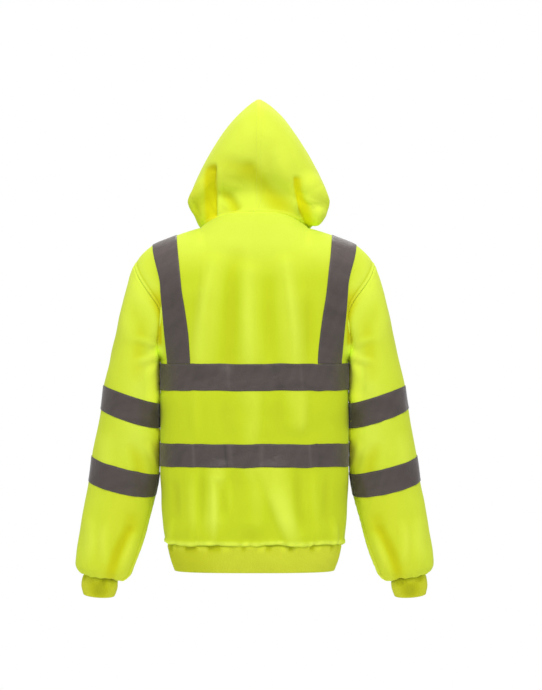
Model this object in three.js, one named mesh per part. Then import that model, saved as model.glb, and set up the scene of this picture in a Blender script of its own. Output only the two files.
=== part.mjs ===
// A high-visibility pullover hoodie, filled out as if worn: hollow, open at the hood, hem and cuffs.
// Millimetres, +Z up. The front faces -Y and the wearer's left is +X.
// The origin is the middle of the neck opening, level with the high points of the shoulders.
import * as THREE from "three";

const { abs, cos, hypot, max, min, PI, sin, sign } = Math;

// ---------------------------------------------------------------- driving dimensions
const CLOTH = 2.2; // wall of the sweatshirt fleece
const RIB = 2.6; // wall of the rib knit at hem and cuffs
const TAPE = 1.0; // reflective tape
const GAP = 0.3; // clearance between two pieces that are sewn together
const SLEEVE_LIFT = { top: 1.5, underarm: 3.3 }; // how far the sleeve head stands off the armhole edge
const HOOD_LIFT = 2.6; // how far the hood's lower edge stands above the neck edge

const CHEST = { top: -287, bottom: -340 }; // reflective band under the arms
const WAIST = { top: -445, bottom: -491 }; // reflective band at the waist
const UNDERARM = -279; // level of the lowest point of the armhole
const HEM_SEAM = -648; // where the rib hem is sewn on
const BOXINESS = 2.8; // exponent of the body's rounded-box section: 2 is an ellipse

// One row for each level of the body: half width at the side seams, depth of back and front.
const BODY_LEVELS = [
  { z: UNDERARM, side: 187, back: 126, front: 131 },
  { z: -340, side: 187, back: 125, front: 133 },
  { z: -470, side: 187, back: 121, front: 131 },
  { z: -560, side: 185, back: 119, front: 129 },
  { z: -610, side: 181, back: 118, front: 127 },
  { z: -636, side: 177.5, back: 116, front: 125 },
  { z: HEM_SEAM, side: 173.5, back: 111, front: 120 },
  { z: -668, side: 168, back: 108, front: 117 },
  { z: -684, side: 163.5, back: 105, front: 113 },
  { z: -700, side: 158, back: 100, front: 108 },
];
// Heights of the rows that a body panel is divided into, below the armhole.
const PANEL_ROWS = [
  UNDERARM, CHEST.top, CHEST.bottom, -392, WAIST.top, WAIST.bottom, -535, -578, -612, -636, HEM_SEAM,
];
const HEM_ROWS = [HEM_SEAM, -665, -683, -700];

// One row for each column of a body panel, from the centre line out: its angle round the body,
// where it meets the top edge (shoulder is the distance from the centre line), and how steeply
// the back and the front fall away from that edge (1 rounds over like an ellipse, more is steeper).
// The first five reach the neck edge, and the brace lies between columns 6 and 8.
const NECK_COLUMNS = 4;
const BRACE_COLUMNS = [6, 7, 8];
const COLUMNS = [
  { turn: 0, shoulder: 0, backFall: 1.2, frontFall: 1.5 },
  { turn: 12, shoulder: 0, backFall: 1.18, frontFall: 1.5 },
  { turn: 23, shoulder: 0, backFall: 1.06, frontFall: 1.5 },
  { turn: 34, shoulder: 0, backFall: 0.86, frontFall: 1.5 },
  { turn: 43, shoulder: 105, backFall: 0.65, frontFall: 1.4 },
  { turn: 47.5, shoulder: 130, backFall: 0.63, frontFall: 1.28 },
  { turn: 50, shoulder: 156, backFall: 0.66, frontFall: 1.1 },
  { turn: 58.5, shoulder: 178, backFall: 0.7, frontFall: 1.04 },
  { turn: 66, shoulder: 200, backFall: 0.76, frontFall: 1.0 },
  { turn: 74.5, shoulder: 217, backFall: 0.82, frontFall: 0.98 },
  { turn: 82.5, shoulder: 230, backFall: 0.85, frontFall: 0.99 },
  { turn: 90, shoulder: 239, backFall: 0.85, frontFall: 1.0 },
];

const NECK = { halfWidth: 105, back: 72, front: -105, backZ: 13, sideZ: -16, frontZ: -85, dip: 16 };
// The shoulder seam from the neck to the armhole.
const SHOULDER = [
  { x: 105, y: -16, z: -16 },
  { x: 140, y: -11, z: -26.5 },
  { x: 178, y: -6, z: -40.5 },
  { x: 200, y: -3, z: -50 },
  { x: 217, y: -2, z: -63 },
  { x: 230, y: -1, z: -77 },
  { x: 239, y: 0, z: -92 },
];
const YOKE_ROWS = 9; // rows from the armhole's lowest point up to the shoulder
const YOKE_FULLNESS = { back: 9, front: 6 }; // how far the shoulder blades and the chest stand out

// One row for each section of a sleeve, from the armhole to the cuff: its outer and inner edge,
// its middle and half depth from front to back, how much lower its back hangs than its edges,
// and how far it is drawn in between the arm and the body.
const SLEEVE = [
  { outerX: 239, outerZ: -92, innerX: 187, innerZ: UNDERARM, y: 0, depth: 74, drop: 0, drawn: 28 },
  { outerX: 251, outerZ: -122, innerX: 191.3, innerZ: -288, y: 0, depth: 76, drop: 0, drawn: 18 },
  { outerX: 265, outerZ: -177, innerX: 191.6, innerZ: -302, y: -1, depth: 78, drop: 1, drawn: 8 },
  { outerX: 283, outerZ: -257, innerX: 191.8, innerZ: -331, y: -2, depth: 79, drop: 3, drawn: 2 },
  { outerX: 299, outerZ: -329, innerX: 191.8, innerZ: -366, y: -4, depth: 77, drop: 2, drawn: 0 },
  { outerX: 306, outerZ: -378, innerX: 191.8, innerZ: -416, y: -6, depth: 74, drop: 7, drawn: 0 },
  { outerX: 315, outerZ: -425, innerX: 191.8, innerZ: -461, y: -9, depth: 70, drop: 6, drawn: 0 },
  { outerX: 324, outerZ: -471, innerX: 192, innerZ: -506, y: -13, depth: 66, drop: 7, drawn: 0 },
  { outerX: 331, outerZ: -523, innerX: 200, innerZ: -552, y: -18, depth: 61, drop: 11, drawn: 0 },
  { outerX: 341, outerZ: -571, innerX: 212, innerZ: -600, y: -23, depth: 57, drop: 10, drawn: 0 },
  { outerX: 349.5, outerZ: -622, innerX: 226, innerZ: -650, y: -29, depth: 54, drop: 8, drawn: 0 },
  { outerX: 357, outerZ: -668, innerX: 239, innerZ: -692, y: -34, depth: 51, drop: 6, drawn: 0 },
  { outerX: 356, outerZ: -694, innerX: 247, innerZ: -712, y: -37, depth: 45, drop: 4, drawn: 0 },
  { outerX: 343, outerZ: -708, innerX: 269, innerZ: -722, y: -38, depth: 27, drop: 3, drawn: 0 },
];
const SECTION_FLATNESS = 0.8; // below 1 flattens the back and the front of a sleeve or cuff
const SLEEVE_TAPES = { upper: [4, 5], lower: [7, 8] }; // sleeve sections at the edges of each band
const CUFF = [
  { outerX: 343, outerZ: -710.5, innerX: 272, innerZ: -724.5, y: -38, depth: 27, drop: 3, drawn: 0 },
  { outerX: 345, outerZ: -732, innerX: 275, innerZ: -742, y: -41, depth: 26.5, drop: 4, drawn: 0 },
  { outerX: 343, outerZ: -751, innerX: 280, innerZ: -755, y: -43, depth: 24, drop: 4, drawn: 0 },
];

// One row for each arch of the hood, from the back of the neck over the crown to the face edge:
// where it crosses the centre seam, its widest half width and the height of it, and how pointed it is.
const HOOD_ARCHES = [
  { at: 0.0, y: 72, z: 13, wide: 105, wideZ: -16, point: 2.0 },
  { at: 0.08, y: 61, z: 31, wide: 119, wideZ: 2, point: 2.0 },
  { at: 0.15, y: 56, z: 49, wide: 130, wideZ: 14, point: 2.0 },
  { at: 0.22, y: 64, z: 66, wide: 136, wideZ: 24, point: 2.0 },
  { at: 0.32, y: 88, z: 93, wide: 139, wideZ: 32, point: 1.9 },
  { at: 0.42, y: 103, z: 128, wide: 140, wideZ: 36, point: 1.8 },
  { at: 0.52, y: 105, z: 168, wide: 140, wideZ: 36, point: 1.65 },
  { at: 0.64, y: 84, z: 207, wide: 140, wideZ: 36, point: 1.5 },
  { at: 0.76, y: 36, z: 232, wide: 140, wideZ: 36, point: 1.4 },
  { at: 0.86, y: -18, z: 238, wide: 137, wideZ: 36, point: 1.4 },
  { at: 0.94, y: -70, z: 229, wide: 128, wideZ: 34, point: 1.5 },
  { at: 1.0, y: -112, z: 212, wide: 110, wideZ: 30, point: 1.7 },
];
const HOOD_STEPS = { arches: 12, across: 12 };
const HOOD_LEAN = -9; // the filled hood leans this far to the wearer's right, above the neck
const FRONT_LAP = 9; // half the distance between the hood's two corners at the front of the neck

// One row for each large soft fold. It lies along a line from one place to another on the piece,
// seen from behind or from the front; rise is the height of a ridge, or below 0 the depth of a
// trough, and width is the distance from its middle to where it ends.
const BODY_FOLDS = [
  { isBack: true, fromX: 78, fromZ: -95, toX: 104, toZ: -290, width: 34, rise: 5 },
  { isBack: true, fromX: 36, fromZ: -80, toX: 50, toZ: -280, width: 30, rise: -4 },
  { isBack: true, fromX: 12, fromZ: -110, toX: 4, toZ: -600, width: 36, rise: 5 },
  { isBack: true, fromX: -62, fromZ: -95, toX: -86, toZ: -400, width: 34, rise: 5 },
  { isBack: true, fromX: -50, fromZ: -500, toX: -76, toZ: -640, width: 34, rise: 5 },
  { isBack: true, fromX: 72, fromZ: -500, toX: 84, toZ: -640, width: 32, rise: 5 },
  { isBack: false, fromX: 70, fromZ: -120, toX: 88, toZ: -420, width: 36, rise: 5 },
  { isBack: false, fromX: -66, fromZ: -130, toX: -92, toZ: -400, width: 36, rise: 5 },
  { isBack: false, fromX: 10, fromZ: -200, toX: -8, toZ: -600, width: 40, rise: 4 },
  { isBack: false, fromX: 92, fromZ: -500, toX: 70, toZ: -640, width: 34, rise: 5 },
  { isBack: false, fromX: -84, fromZ: -500, toX: -72, toZ: -640, width: 34, rise: 5 },
];
const HOOD_FOLDS = [
  { isBack: true, fromX: 86, fromZ: 96, toX: 80, toZ: 14, width: 24, rise: -13 },
  { isBack: true, fromX: -92, fromZ: 70, toX: -104, toZ: 14, width: 20, rise: -8 },
];
const HEM_FADE = 50; // the body's folds die out over this height above the hem seam

const COLOURS = { yellow: 0xe4f53a, rib: 0xb9c52f, tape: 0x57504a };

// ---------------------------------------------------------------- small mathematics
const degrees = (d) => (d * PI) / 180;
const mix = (a, b, t) => a + (b - a) * t;
const clamp01 = (t) => min(1, max(0, t));
const smooth = (t) => clamp01(t) ** 2 * (3 - 2 * clamp01(t));

// The value of a table's column where its key column is x, on a smooth curve through the rows.
function along(table, key, column, x) {
  const last = table.length - 1;
  const rising = table[last][key] > table[0][key];
  let k = 0;
  while (k < last - 1 && (rising ? x > table[k + 1][key] : x < table[k + 1][key])) k++;
  const slope = (i) => {
    const a = table[max(i - 1, 0)];
    const b = table[min(i + 1, last)];
    return (b[column] - a[column]) / (b[key] - a[key]);
  };
  const a = table[k];
  const b = table[k + 1];
  const h = b[key] - a[key];
  const t = clamp01((x - a[key]) / h);
  const ease = smooth(t);
  return (
    mix(a[column], b[column], ease) +
    h * t * (1 - t) * ((1 - t) * slope(k) - t * slope(k + 1))
  );
}

// ---------------------------------------------------------------- the garment's form
// A point of the body at a height and an angle round it: 0 is the centre back, 90 the left side.
function bodyRing(turn, z) {
  const level = {};
  for (const column of ["side", "back", "front"]) level[column] = along(BODY_LEVELS, "z", column, z);
  const s = sin(degrees(turn));
  const c = cos(degrees(turn));
  const depth = c > 0 ? level.back : level.front;
  const r = (abs(s / level.side) ** BOXINESS + abs(c / depth) ** BOXINESS) ** (-1 / BOXINESS);
  return new THREE.Vector3(r * s, r * c, z);
}

// The neck edge as an angle: 0 is the centre back, 90 the left shoulder, 180 the centre front.
function neckCurve(turn) {
  const c = cos(degrees(turn));
  const middle = (NECK.backZ + NECK.frontZ) / 2;
  const twist = (middle - NECK.sideZ) / 2;
  // Towards each side of the back the edge dips below that wave.
  const dip = NECK.dip * max(0, sin(degrees(2 * turn))) * sin(degrees(turn)) ** 3;
  return new THREE.Vector3(
    NECK.halfWidth * sin(degrees(turn)),
    mix(NECK.front, NECK.back, (1 + c) / 2),
    middle - twist + ((NECK.backZ - NECK.frontZ) / 2) * c + twist * cos(degrees(2 * turn)) - dip,
  );
}
function neckEdge(turn) {
  const step = 90 / NECK_COLUMNS;
  const k = min(2 * NECK_COLUMNS - 1, Math.floor(turn / step));
  return neckCurve(k * step).lerp(neckCurve((k + 1) * step), turn / step - k);
}

// A point on a tube section: angle 0 is the outer edge, 90 the back, 180 the inner edge.
function tubeSection(row, angle) {
  const c = cos(angle);
  const s = sin(angle);
  return new THREE.Vector3(
    mix(row.innerX, row.outerX, (1 + c) / 2) - row.drawn * s ** 6,
    row.y + row.depth * sign(s) * abs(s) ** SECTION_FLATNESS,
    mix(row.innerZ, row.outerZ, (1 + c) / 2) - row.drop * s,
  );
}

// The armhole edge: 0 at its lowest point, 1 at the shoulder, over the back or the front.
const armhole = (w, isBack) => tubeSection(SLEEVE[0], (isBack ? 1 : -1) * PI * (1 - w));

// Where a panel column meets the neck or the shoulder seam.
function topEdge(column, isBack) {
  if (column <= NECK_COLUMNS) {
    const turn = (90 / NECK_COLUMNS) * column;
    return neckCurve(isBack ? turn : 180 - turn);
  }
  const x = COLUMNS[column].shoulder;
  return new THREE.Vector3(x, along(SHOULDER, "x", "y", x), along(SHOULDER, "x", "z", x));
}

// A point of the yoke: w runs from the armhole's level (0) over the rounded shoulder to the top edge (1).
function yokePoint(column, w, isBack) {
  const { turn, backFall, frontFall } = COLUMNS[column];
  const power = isBack ? backFall : frontFall;
  const rise = (from, to) => {
    const angle = (PI / 2) * w ** 1.1;
    return new THREE.Vector3(
      mix(from.x, to.x, sin(angle) ** power),
      mix(to.y, from.y, cos(angle) ** power),
      mix(from.z, to.z, sin(angle) ** power),
    );
  };
  const last = COLUMNS.length - 1;
  const side = bodyRing(90, UNDERARM);
  const point = rise(bodyRing(isBack ? turn : 180 - turn, UNDERARM), topEdge(column, isBack));
  const toArmhole = armhole(w, isBack).sub(rise(side, topEdge(last, isBack)));
  const nearArmhole = smooth((turn / 90 - 0.62) / 0.38);
  point.addScaledVector(toArmhole, nearArmhole);
  const full = (isBack ? YOKE_FULLNESS.back : -YOKE_FULLNESS.front) * sin(PI * w) ** 1.5;
  point.y += full * sin(PI * clamp01(turn / 90)) * (1 - nearArmhole);
  return point;
}

// A point of the hood's left half: arch 0 is the neck edge and 1 the face edge,
// and across runs from the neck seam (0) to the centre seam (1).
function hoodPoint(arch, across) {
  const row = {};
  for (const column of ["y", "z", "wide", "wideZ", "point"])
    row[column] = along(HOOD_ARCHES, "at", column, arch);
  const foot = neckEdge(90 + 90 * arch);
  foot.x = max(foot.x, FRONT_LAP);
  const wideAt = clamp01((row.wideZ - foot.z) / (row.z - foot.z));
  const turnAt = wideAt / (wideAt + row.point * (1 - wideAt));
  let up;
  let x;
  if (across < turnAt) {
    const t = across / turnAt;
    up = wideAt * t;
    x = mix(foot.x, row.wide, smooth(t));
  } else {
    const t = (across - turnAt) / (1 - turnAt);
    const r = 1 - (1 - t) ** row.point;
    up = wideAt + (1 - wideAt) * r;
    x = row.wide * (1 - r ** 1.25) ** (1 / row.point);
  }
  const free = new THREE.Vector3(x, mix(foot.y, row.y, up), mix(foot.z, row.z, up));
  const neck = neckEdge(90 - 90 * across);
  return neck.lerp(free, smooth(arch / 0.12));
}

// How far a set of folds lifts the cloth at a point, whose normal says whether it is back or front.
function foldRise(folds, p, normal) {
  let rise = 0;
  for (const f of folds) {
    const along2 = (f.toX - f.fromX) ** 2 + (f.toZ - f.fromZ) ** 2;
    const t = ((p.x - f.fromX) * (f.toX - f.fromX) + (p.z - f.fromZ) * (f.toZ - f.fromZ)) / along2;
    const s = clamp01(t);
    const off = hypot(p.x - mix(f.fromX, f.toX, s), p.z - mix(f.fromZ, f.toZ, s));
    const facing = smooth((f.isBack ? normal.y : -normal.y) * 2);
    rise += f.rise * smooth(1 - off / f.width) * facing;
  }
  return rise;
}

// ---------------------------------------------------------------- shells
// Vertex normals of a grid of points, rows by columns; closed when its columns run round a tube.
function gridNormals(grid, closed, flip) {
  const rows = grid.length;
  const count = grid[0].length;
  return grid.map((line, i) =>
    line.map((_, j) => {
      const left = closed ? (j + count - 1) % count : max(j - 1, 0);
      const right = closed ? (j + 1) % count : min(j + 1, count - 1);
      const across = grid[i][right].clone().sub(grid[i][left]);
      const down = grid[min(i + 1, rows - 1)][j].clone().sub(grid[max(i - 1, 0)][j]);
      return across.cross(down).normalize().multiplyScalar(flip ? -1 : 1);
    }),
  );
}

// A closed wall between two distances from the grid, measured along its normals.
// keep moves a corner point back to its own side of a seam, and crossed tells which rows of quads
// are cut along their other diagonal.
function shell(name, colour, grid, options) {
  const { closed = false, flip = false, from, to, keep, normals, crossed = () => false } = options;
  const rows = grid.length;
  const count = grid[0].length;
  const n = normals ?? gridNormals(grid, closed, flip);
  const position = [];
  for (const distance of [to, from])
    grid.forEach((line, i) =>
      line.forEach((p, j) => {
        const q = p.clone().addScaledVector(n[i][j], distance);
        if (keep) keep(q, i, j);
        position.push(q.x, q.y, q.z);
      }),
    );
  const at = (layer, i, j) => (layer * rows + i) * count + (closed ? j % count : j);
  const index = [];
  const quad = (a, b, c, d) => (flip ? index.push(a, c, b, a, d, c) : index.push(a, b, c, a, c, d));
  const columns = closed ? count : count - 1;
  for (let i = 0; i < rows - 1; i++)
    for (let j = 0; j < columns; j++) {
      const corners = [[i, j], [i, j + 1], [i + 1, j + 1], [i + 1, j]];
      if (crossed(i)) corners.push(corners.shift());
      quad(...corners.map(([k, l]) => at(0, k, l)));
      const [first, ...others] = corners.map(([k, l]) => at(1, k, l));
      quad(first, ...others.reverse());
    }
  const rim = (i, j, k, l) => quad(at(0, i, j), at(0, k, l), at(1, k, l), at(1, i, j));
  for (let j = 0; j < columns; j++) {
    rim(0, j + 1, 0, j);
    rim(rows - 1, j, rows - 1, j + 1);
  }
  if (!closed)
    for (let i = 0; i < rows - 1; i++) {
      rim(i, 0, i + 1, 0);
      rim(i + 1, count - 1, i, count - 1);
    }
  const geometry = new THREE.BufferGeometry();
  geometry.setAttribute("position", new THREE.Float32BufferAttribute(position, 3));
  geometry.setIndex(index);
  geometry.computeVertexNormals();
  const material = new THREE.MeshStandardMaterial({ color: colour, roughness: 0.9, metalness: 0 });
  const mesh = new THREE.Mesh(geometry, material);
  mesh.name = name;
  return mesh;
}

// ---------------------------------------------------------------- pieces
const garment = new THREE.Group();
const wall = { from: -CLOTH / 2, to: CLOTH / 2 };
const ribWall = { from: -RIB / 2, to: RIB / 2 };
const onTop = { from: CLOTH / 2 + GAP, to: CLOTH / 2 + GAP + TAPE };
const last = COLUMNS.length - 1;
const columnNumbers = Array.from({ length: 2 * last + 1 }, (_, j) => j - last);
const underarmRow = YOKE_ROWS;

// Body panel: rows from the shoulder to the hem seam, columns from the right side to the left.
function bodyGrid(isBack) {
  const rows = [];
  const row = (pointOf) =>
    rows.push(
      columnNumbers.map((column) => {
        const p = pointOf(abs(column));
        p.x *= sign(column);
        return p;
      }),
    );
  for (let k = YOKE_ROWS; k > 0; k--) row((column) => yokePoint(column, k / YOKE_ROWS, isBack));
  for (const z of PANEL_ROWS)
    row((column) => bodyRing(isBack ? COLUMNS[column].turn : 180 - COLUMNS[column].turn, z));
  return rows;
}

// Keeps a body panel on its own side of the shoulder seams, the side seams and the hem seam.
function keepPanel(isBack, grid, firstRow = 0) {
  const way = isBack ? 1 : -1;
  return (q, i, j) => {
    const row = i + firstRow;
    const p = grid[row][j];
    const onShoulder = row === 0 && abs(columnNumbers[j]) >= NECK_COLUMNS;
    const onSide = row >= underarmRow && abs(columnNumbers[j]) === last;
    if (onShoulder || onSide) q.y = p.y + way * max(GAP / 2, way * (q.y - p.y));
    if (row === grid.length - 1) q.z = max(q.z, p.z + GAP / 2);
  };
}

const panels = {};
for (const isBack of [true, false]) {
  const half = isBack ? "back" : "front";
  const grid = bodyGrid(isBack);
  const smoothNormals = gridNormals(grid, false, !isBack);
  grid.forEach((line, i) =>
    line.forEach((p, j) => {
      const fade = i === 0 ? 0 : clamp01((p.z - HEM_SEAM) / HEM_FADE);
      p.addScaledVector(smoothNormals[i][j], fade * foldRise(BODY_FOLDS, p, smoothNormals[i][j]));
    }),
  );
  const normals = gridNormals(grid, false, !isBack);
  panels[half] = { grid, normals };
  const options = { flip: !isBack, normals, keep: keepPanel(isBack, grid) };
  garment.add(shell(`${half}_body`, COLOURS.yellow, grid, { ...options, ...wall }));
  for (const [band, { top }] of Object.entries({ chest: CHEST, waist: WAIST })) {
    const first = underarmRow + PANEL_ROWS.indexOf(top);
    const piece = { ...options, normals: normals.slice(first, first + 2), ...onTop };
    piece.keep = keepPanel(isBack, grid, first);
    garment.add(shell(`tape_${band}_${half}`, COLOURS.tape, grid.slice(first, first + 2), piece));
  }
}

// A brace runs from the chest band up the back, over the shoulder and down the front.
for (const side of ["left", "right"]) {
  const columns = BRACE_COLUMNS.map((c) => last + (side === "left" ? c : -c)).sort((a, b) => a - b);
  const lowest = underarmRow + PANEL_ROWS.indexOf(CHEST.top);
  const rows = [];
  const normals = [];
  const take = (half, i) => {
    rows.push(columns.map((j) => panels[half].grid[i][j].clone()));
    normals.push(columns.map((j) => panels[half].normals[i][j].clone()));
  };
  for (let i = lowest; i > 0; i--) take("back", i);
  rows.push(columns.map((j) => panels.back.grid[0][j].clone()));
  // On the shoulder seam the strip turns over the ridge, so it stands off by a mitre.
  normals.push(
    columns.map((j) => {
      const n = panels.back.normals[0][j];
      const middle = n.clone().add(panels.front.normals[0][j]).normalize();
      return middle.divideScalar(max(0.5, middle.dot(n)));
    }),
  );
  for (let i = 1; i <= lowest; i++) take("front", i);
  for (const end of [rows[0], rows[rows.length - 1]]) for (const p of end) p.z += GAP;
  const options = { flip: true, normals, crossed: (i) => i < lowest, ...onTop };
  garment.add(shell(`brace_${side}`, COLOURS.tape, rows, options));
}

// The rib hem goes all round in one piece.
const aroundBody = [
  ...columnNumbers.map((c) => ({ turn: COLUMNS[abs(c)].turn, way: sign(c) })),
  ...columnNumbers
    .slice(1, -1)
    .reverse()
    .map((c) => ({ turn: 180 - COLUMNS[abs(c)].turn, way: sign(c) })),
];
const hemGrid = HEM_ROWS.map((z) =>
  aroundBody.map(({ turn, way }) => {
    const p = bodyRing(turn, z);
    p.x *= way;
    return p;
  }),
);
const keepHem = (q, i) => {
  if (i === 0) q.z = min(q.z, HEM_SEAM - GAP / 2);
};
garment.add(shell("hem_band", COLOURS.rib, hemGrid, { closed: true, keep: keepHem, ...ribWall }));

// Sleeves, their bands and their cuffs.
const AROUND_SLEEVE = 2 * YOKE_ROWS;
function tubeGrid(table, side) {
  return table.map((row) =>
    Array.from({ length: AROUND_SLEEVE }, (_, j) => {
      const p = tubeSection(row, (-2 * PI * j) / AROUND_SLEEVE);
      p.x *= side === "left" ? 1 : -1;
      return p;
    }),
  );
}
for (const side of ["left", "right"]) {
  const way = side === "left" ? 1 : -1;
  const options = { closed: true, flip: side === "right" };
  const grid = tubeGrid(SLEEVE, side);
  grid[0].forEach((p, j) => {
    const low = (1 - cos((2 * PI * j) / AROUND_SLEEVE)) / 2;
    p.x += way * mix(SLEEVE_LIFT.top, SLEEVE_LIFT.underarm, low);
  });
  const normals = gridNormals(grid, true, options.flip);
  garment.add(shell(`sleeve_${side}`, COLOURS.yellow, grid, { ...options, normals, ...wall }));
  for (const [band, [first, second]] of Object.entries(SLEEVE_TAPES)) {
    const piece = { ...options, normals: normals.slice(first, second + 1), ...onTop };
    const rows = grid.slice(first, second + 1);
    garment.add(shell(`tape_sleeve_${band}_${side}`, COLOURS.tape, rows, piece));
  }
  const cuff = tubeGrid(CUFF, side);
  garment.add(shell(`cuff_${side}`, COLOURS.rib, cuff, { ...options, ...ribWall }));
}

// The hood: two halves, sewn to each other along the centre seam and to the neck edge.
for (const side of ["left", "right"]) {
  const way = side === "left" ? 1 : -1;
  const grid = Array.from({ length: HOOD_STEPS.arches + 1 }, (_, i) =>
    Array.from({ length: HOOD_STEPS.across + 1 }, (_, j) => {
      const p = hoodPoint(i / HOOD_STEPS.arches, j / HOOD_STEPS.across);
      const free = smooth(i / HOOD_STEPS.arches / 0.12);
      p.x = way * p.x + HOOD_LEAN * free * smooth((p.z + 16) / 26);
      p.z += HOOD_LIFT;
      return p;
    }),
  );
  const smoothNormals = gridNormals(grid, false, side === "right");
  grid.slice(1).forEach((line, i) =>
    line.forEach((p, j) => {
      const n = smoothNormals[i + 1][j];
      if (j > 0 && j < HOOD_STEPS.across) p.addScaledVector(n, foldRise(HOOD_FOLDS, p, n));
    }),
  );
  const keep = (q, i, j) => {
    const p = grid[i][j];
    if (j === HOOD_STEPS.across) q.x = p.x + way * max(GAP / 2, way * (q.x - p.x));
  };
  garment.add(
    shell(`hood_${side}`, COLOURS.yellow, grid, { flip: side === "right", keep, ...wall }),
  );
}

export default garment;
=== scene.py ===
# %% [markdown]
# # A high-visibility hoodie
# A pullover hoodie in fluorescent yellow sweatshirt fleece, filled out as if someone wore it. Its
# pieces are a back and a front panel, two sleeves, a hood in two halves, a rib hem, two rib cuffs,
# and bands and braces of grey reflective tape.
#
# The CAD model holds every piece as a plain wall. Here each wall is made again as finer cloth,
# on the same form, with its creases, seams, ribs and threads.

import math

import bpy
import numpy as np
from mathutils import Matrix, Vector


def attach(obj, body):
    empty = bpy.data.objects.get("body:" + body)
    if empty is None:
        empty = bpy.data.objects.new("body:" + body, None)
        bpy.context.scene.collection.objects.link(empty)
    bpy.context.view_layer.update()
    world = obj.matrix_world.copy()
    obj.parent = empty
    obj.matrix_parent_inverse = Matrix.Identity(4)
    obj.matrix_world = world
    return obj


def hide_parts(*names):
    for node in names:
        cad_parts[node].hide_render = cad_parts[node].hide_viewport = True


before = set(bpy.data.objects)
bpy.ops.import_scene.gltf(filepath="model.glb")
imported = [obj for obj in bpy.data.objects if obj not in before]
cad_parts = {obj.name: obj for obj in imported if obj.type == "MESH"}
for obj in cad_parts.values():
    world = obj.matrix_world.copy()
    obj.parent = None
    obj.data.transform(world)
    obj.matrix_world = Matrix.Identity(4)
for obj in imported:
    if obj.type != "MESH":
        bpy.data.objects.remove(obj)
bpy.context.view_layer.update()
MM = 0.001

# %% [markdown]
# ## Camera
# The garment is seen from behind and level, from far away with a long lens, so that its flat bands
# and hem stay straight lines. A nearer camera would curve them. The lens follows from the height
# that the view takes in at the garment's middle plane: lens over sensor is distance over height.

# %% Camera
CAMERA_DISTANCE = 7.0
VIEW_HEIGHT = 1.38
VIEW_CENTRE = (-0.033, -0.25)
SENSOR = 36.0

camera_data = bpy.data.cameras.new("camera")
camera_data.sensor_width = SENSOR
camera_data.lens = SENSOR * CAMERA_DISTANCE / VIEW_HEIGHT
camera = bpy.data.objects.new("camera", camera_data)
camera.location = (VIEW_CENTRE[0], CAMERA_DISTANCE, VIEW_CENTRE[1])
camera.rotation_euler = (math.pi / 2, 0, math.pi)
bpy.context.collection.objects.link(camera)
bpy.context.scene.camera = camera
print(f"camera {CAMERA_DISTANCE} m away, lens {camera_data.lens:.0f} mm")

# %% [markdown]
# ## Small mathematics
# Every piece is worked out as a grid of points, rows by columns, in millimetres. It could be pulled
# into shape by hand instead, but a formula on whole arrays is short, exact and easy to change. The
# tables below have a row for each section of a piece, and a value between two rows lies on a
# smooth curve.


# %% Small mathematics
def mix(a, b, t):
    """a at t = 0, b at t = 1, and a straight line between."""
    return a + (b - a) * t


def smooth(t):
    """0 below 0 and 1 above 1, with an S-shaped rise between: 3 t squared less 2 t cubed."""
    t = np.clip(t, 0, 1)
    return t * t * (3 - 2 * t)


def bell(distance, width):
    """1 in the middle and near 0 beyond width: e to the power of minus the square of
    2 distance / width."""
    return np.exp(-((2 * distance / width) ** 2))


print("S-curve at a quarter:", float(smooth(0.25)), "and bell:", round(float(bell(0.25, 1)), 3))


# %% Tables
def table(names, *rows):
    """A table as one array for each named column."""
    return dict(zip(names.split(), np.array(rows, float).T))


def each_row(rows):
    """The rows of a table one by one, each with its values by name."""
    for values in zip(*rows.values()):
        yield dict(zip(rows, values))


def along(rows, key, x):
    """Every column of a table where its key column is x. Between two rows the curve is a cubic,
    whose slope at a row is that of the line between the row's two neighbours."""
    order = np.argsort(rows[key])
    keys = rows[key][order]
    x = np.clip(x, keys[0], keys[-1])
    k = np.clip(np.searchsorted(keys, x, side="right") - 1, 0, len(keys) - 2)
    h = keys[k + 1] - keys[k]
    t = (x - keys[k]) / h
    lower = np.maximum(np.arange(len(keys)) - 1, 0)
    upper = np.minimum(np.arange(len(keys)) + 1, len(keys) - 1)
    found = {}
    for name, column in rows.items():
        values = column[order]
        slope = (values[upper] - values[lower]) / (keys[upper] - keys[lower])
        bend = h * t * (1 - t) * ((1 - t) * slope[k] - t * slope[k + 1])
        found[name] = mix(values[k], values[k + 1], smooth(t)) + bend
    return found


squares = table("x y", (0, 0), (1, 1), (2, 4), (3, 9))
print("between the rows of a table of squares, 1.5 gives", along(squares, "x", 1.5)["y"])


# %% Waves and lengths
def ripple(s, wave, seed):
    """An uneven wave between about -1 and 1 along s: five sines whose lengths lie around wave,
    with phases and lengths drawn from the seed."""
    draw = np.random.default_rng(seed)
    lengths = wave * draw.uniform(0.55, 1.9, 5)
    phases = draw.uniform(0, 2 * math.pi, 5)
    return sum(np.sin(2 * math.pi * s / a + b) for a, b in zip(lengths, phases)) / 2.6


def undulation(points, wave, seed):
    """A soft uneven swell over the cloth: three plane waves that cross each other."""
    draw = np.random.default_rng(seed)
    total = 0
    for _ in range(3):
        way = draw.normal(size=3)
        way /= np.linalg.norm(way)
        total = total + ripple(points @ way, wave, draw.integers(1 << 30))
    return total / 3


def arc_length(points, axis):
    """Distance walked along an axis of the grid, from its start to each point."""
    steps = np.linalg.norm(np.diff(points, axis=axis), axis=-1)
    start = np.zeros_like(np.take(steps, [0], axis=axis))
    return np.concatenate([start, np.cumsum(steps, axis=axis)], axis=axis)


def even(values, points, count):
    """count values of a parameter that lie evenly along the line of points it gives."""
    s = arc_length(points, 0)
    return np.interp(np.linspace(0, s[-1], count), s, values)


print("a ripple of about 60 mm:", np.round(ripple(np.arange(0, 120, 20.0), 60, 1), 2))

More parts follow.
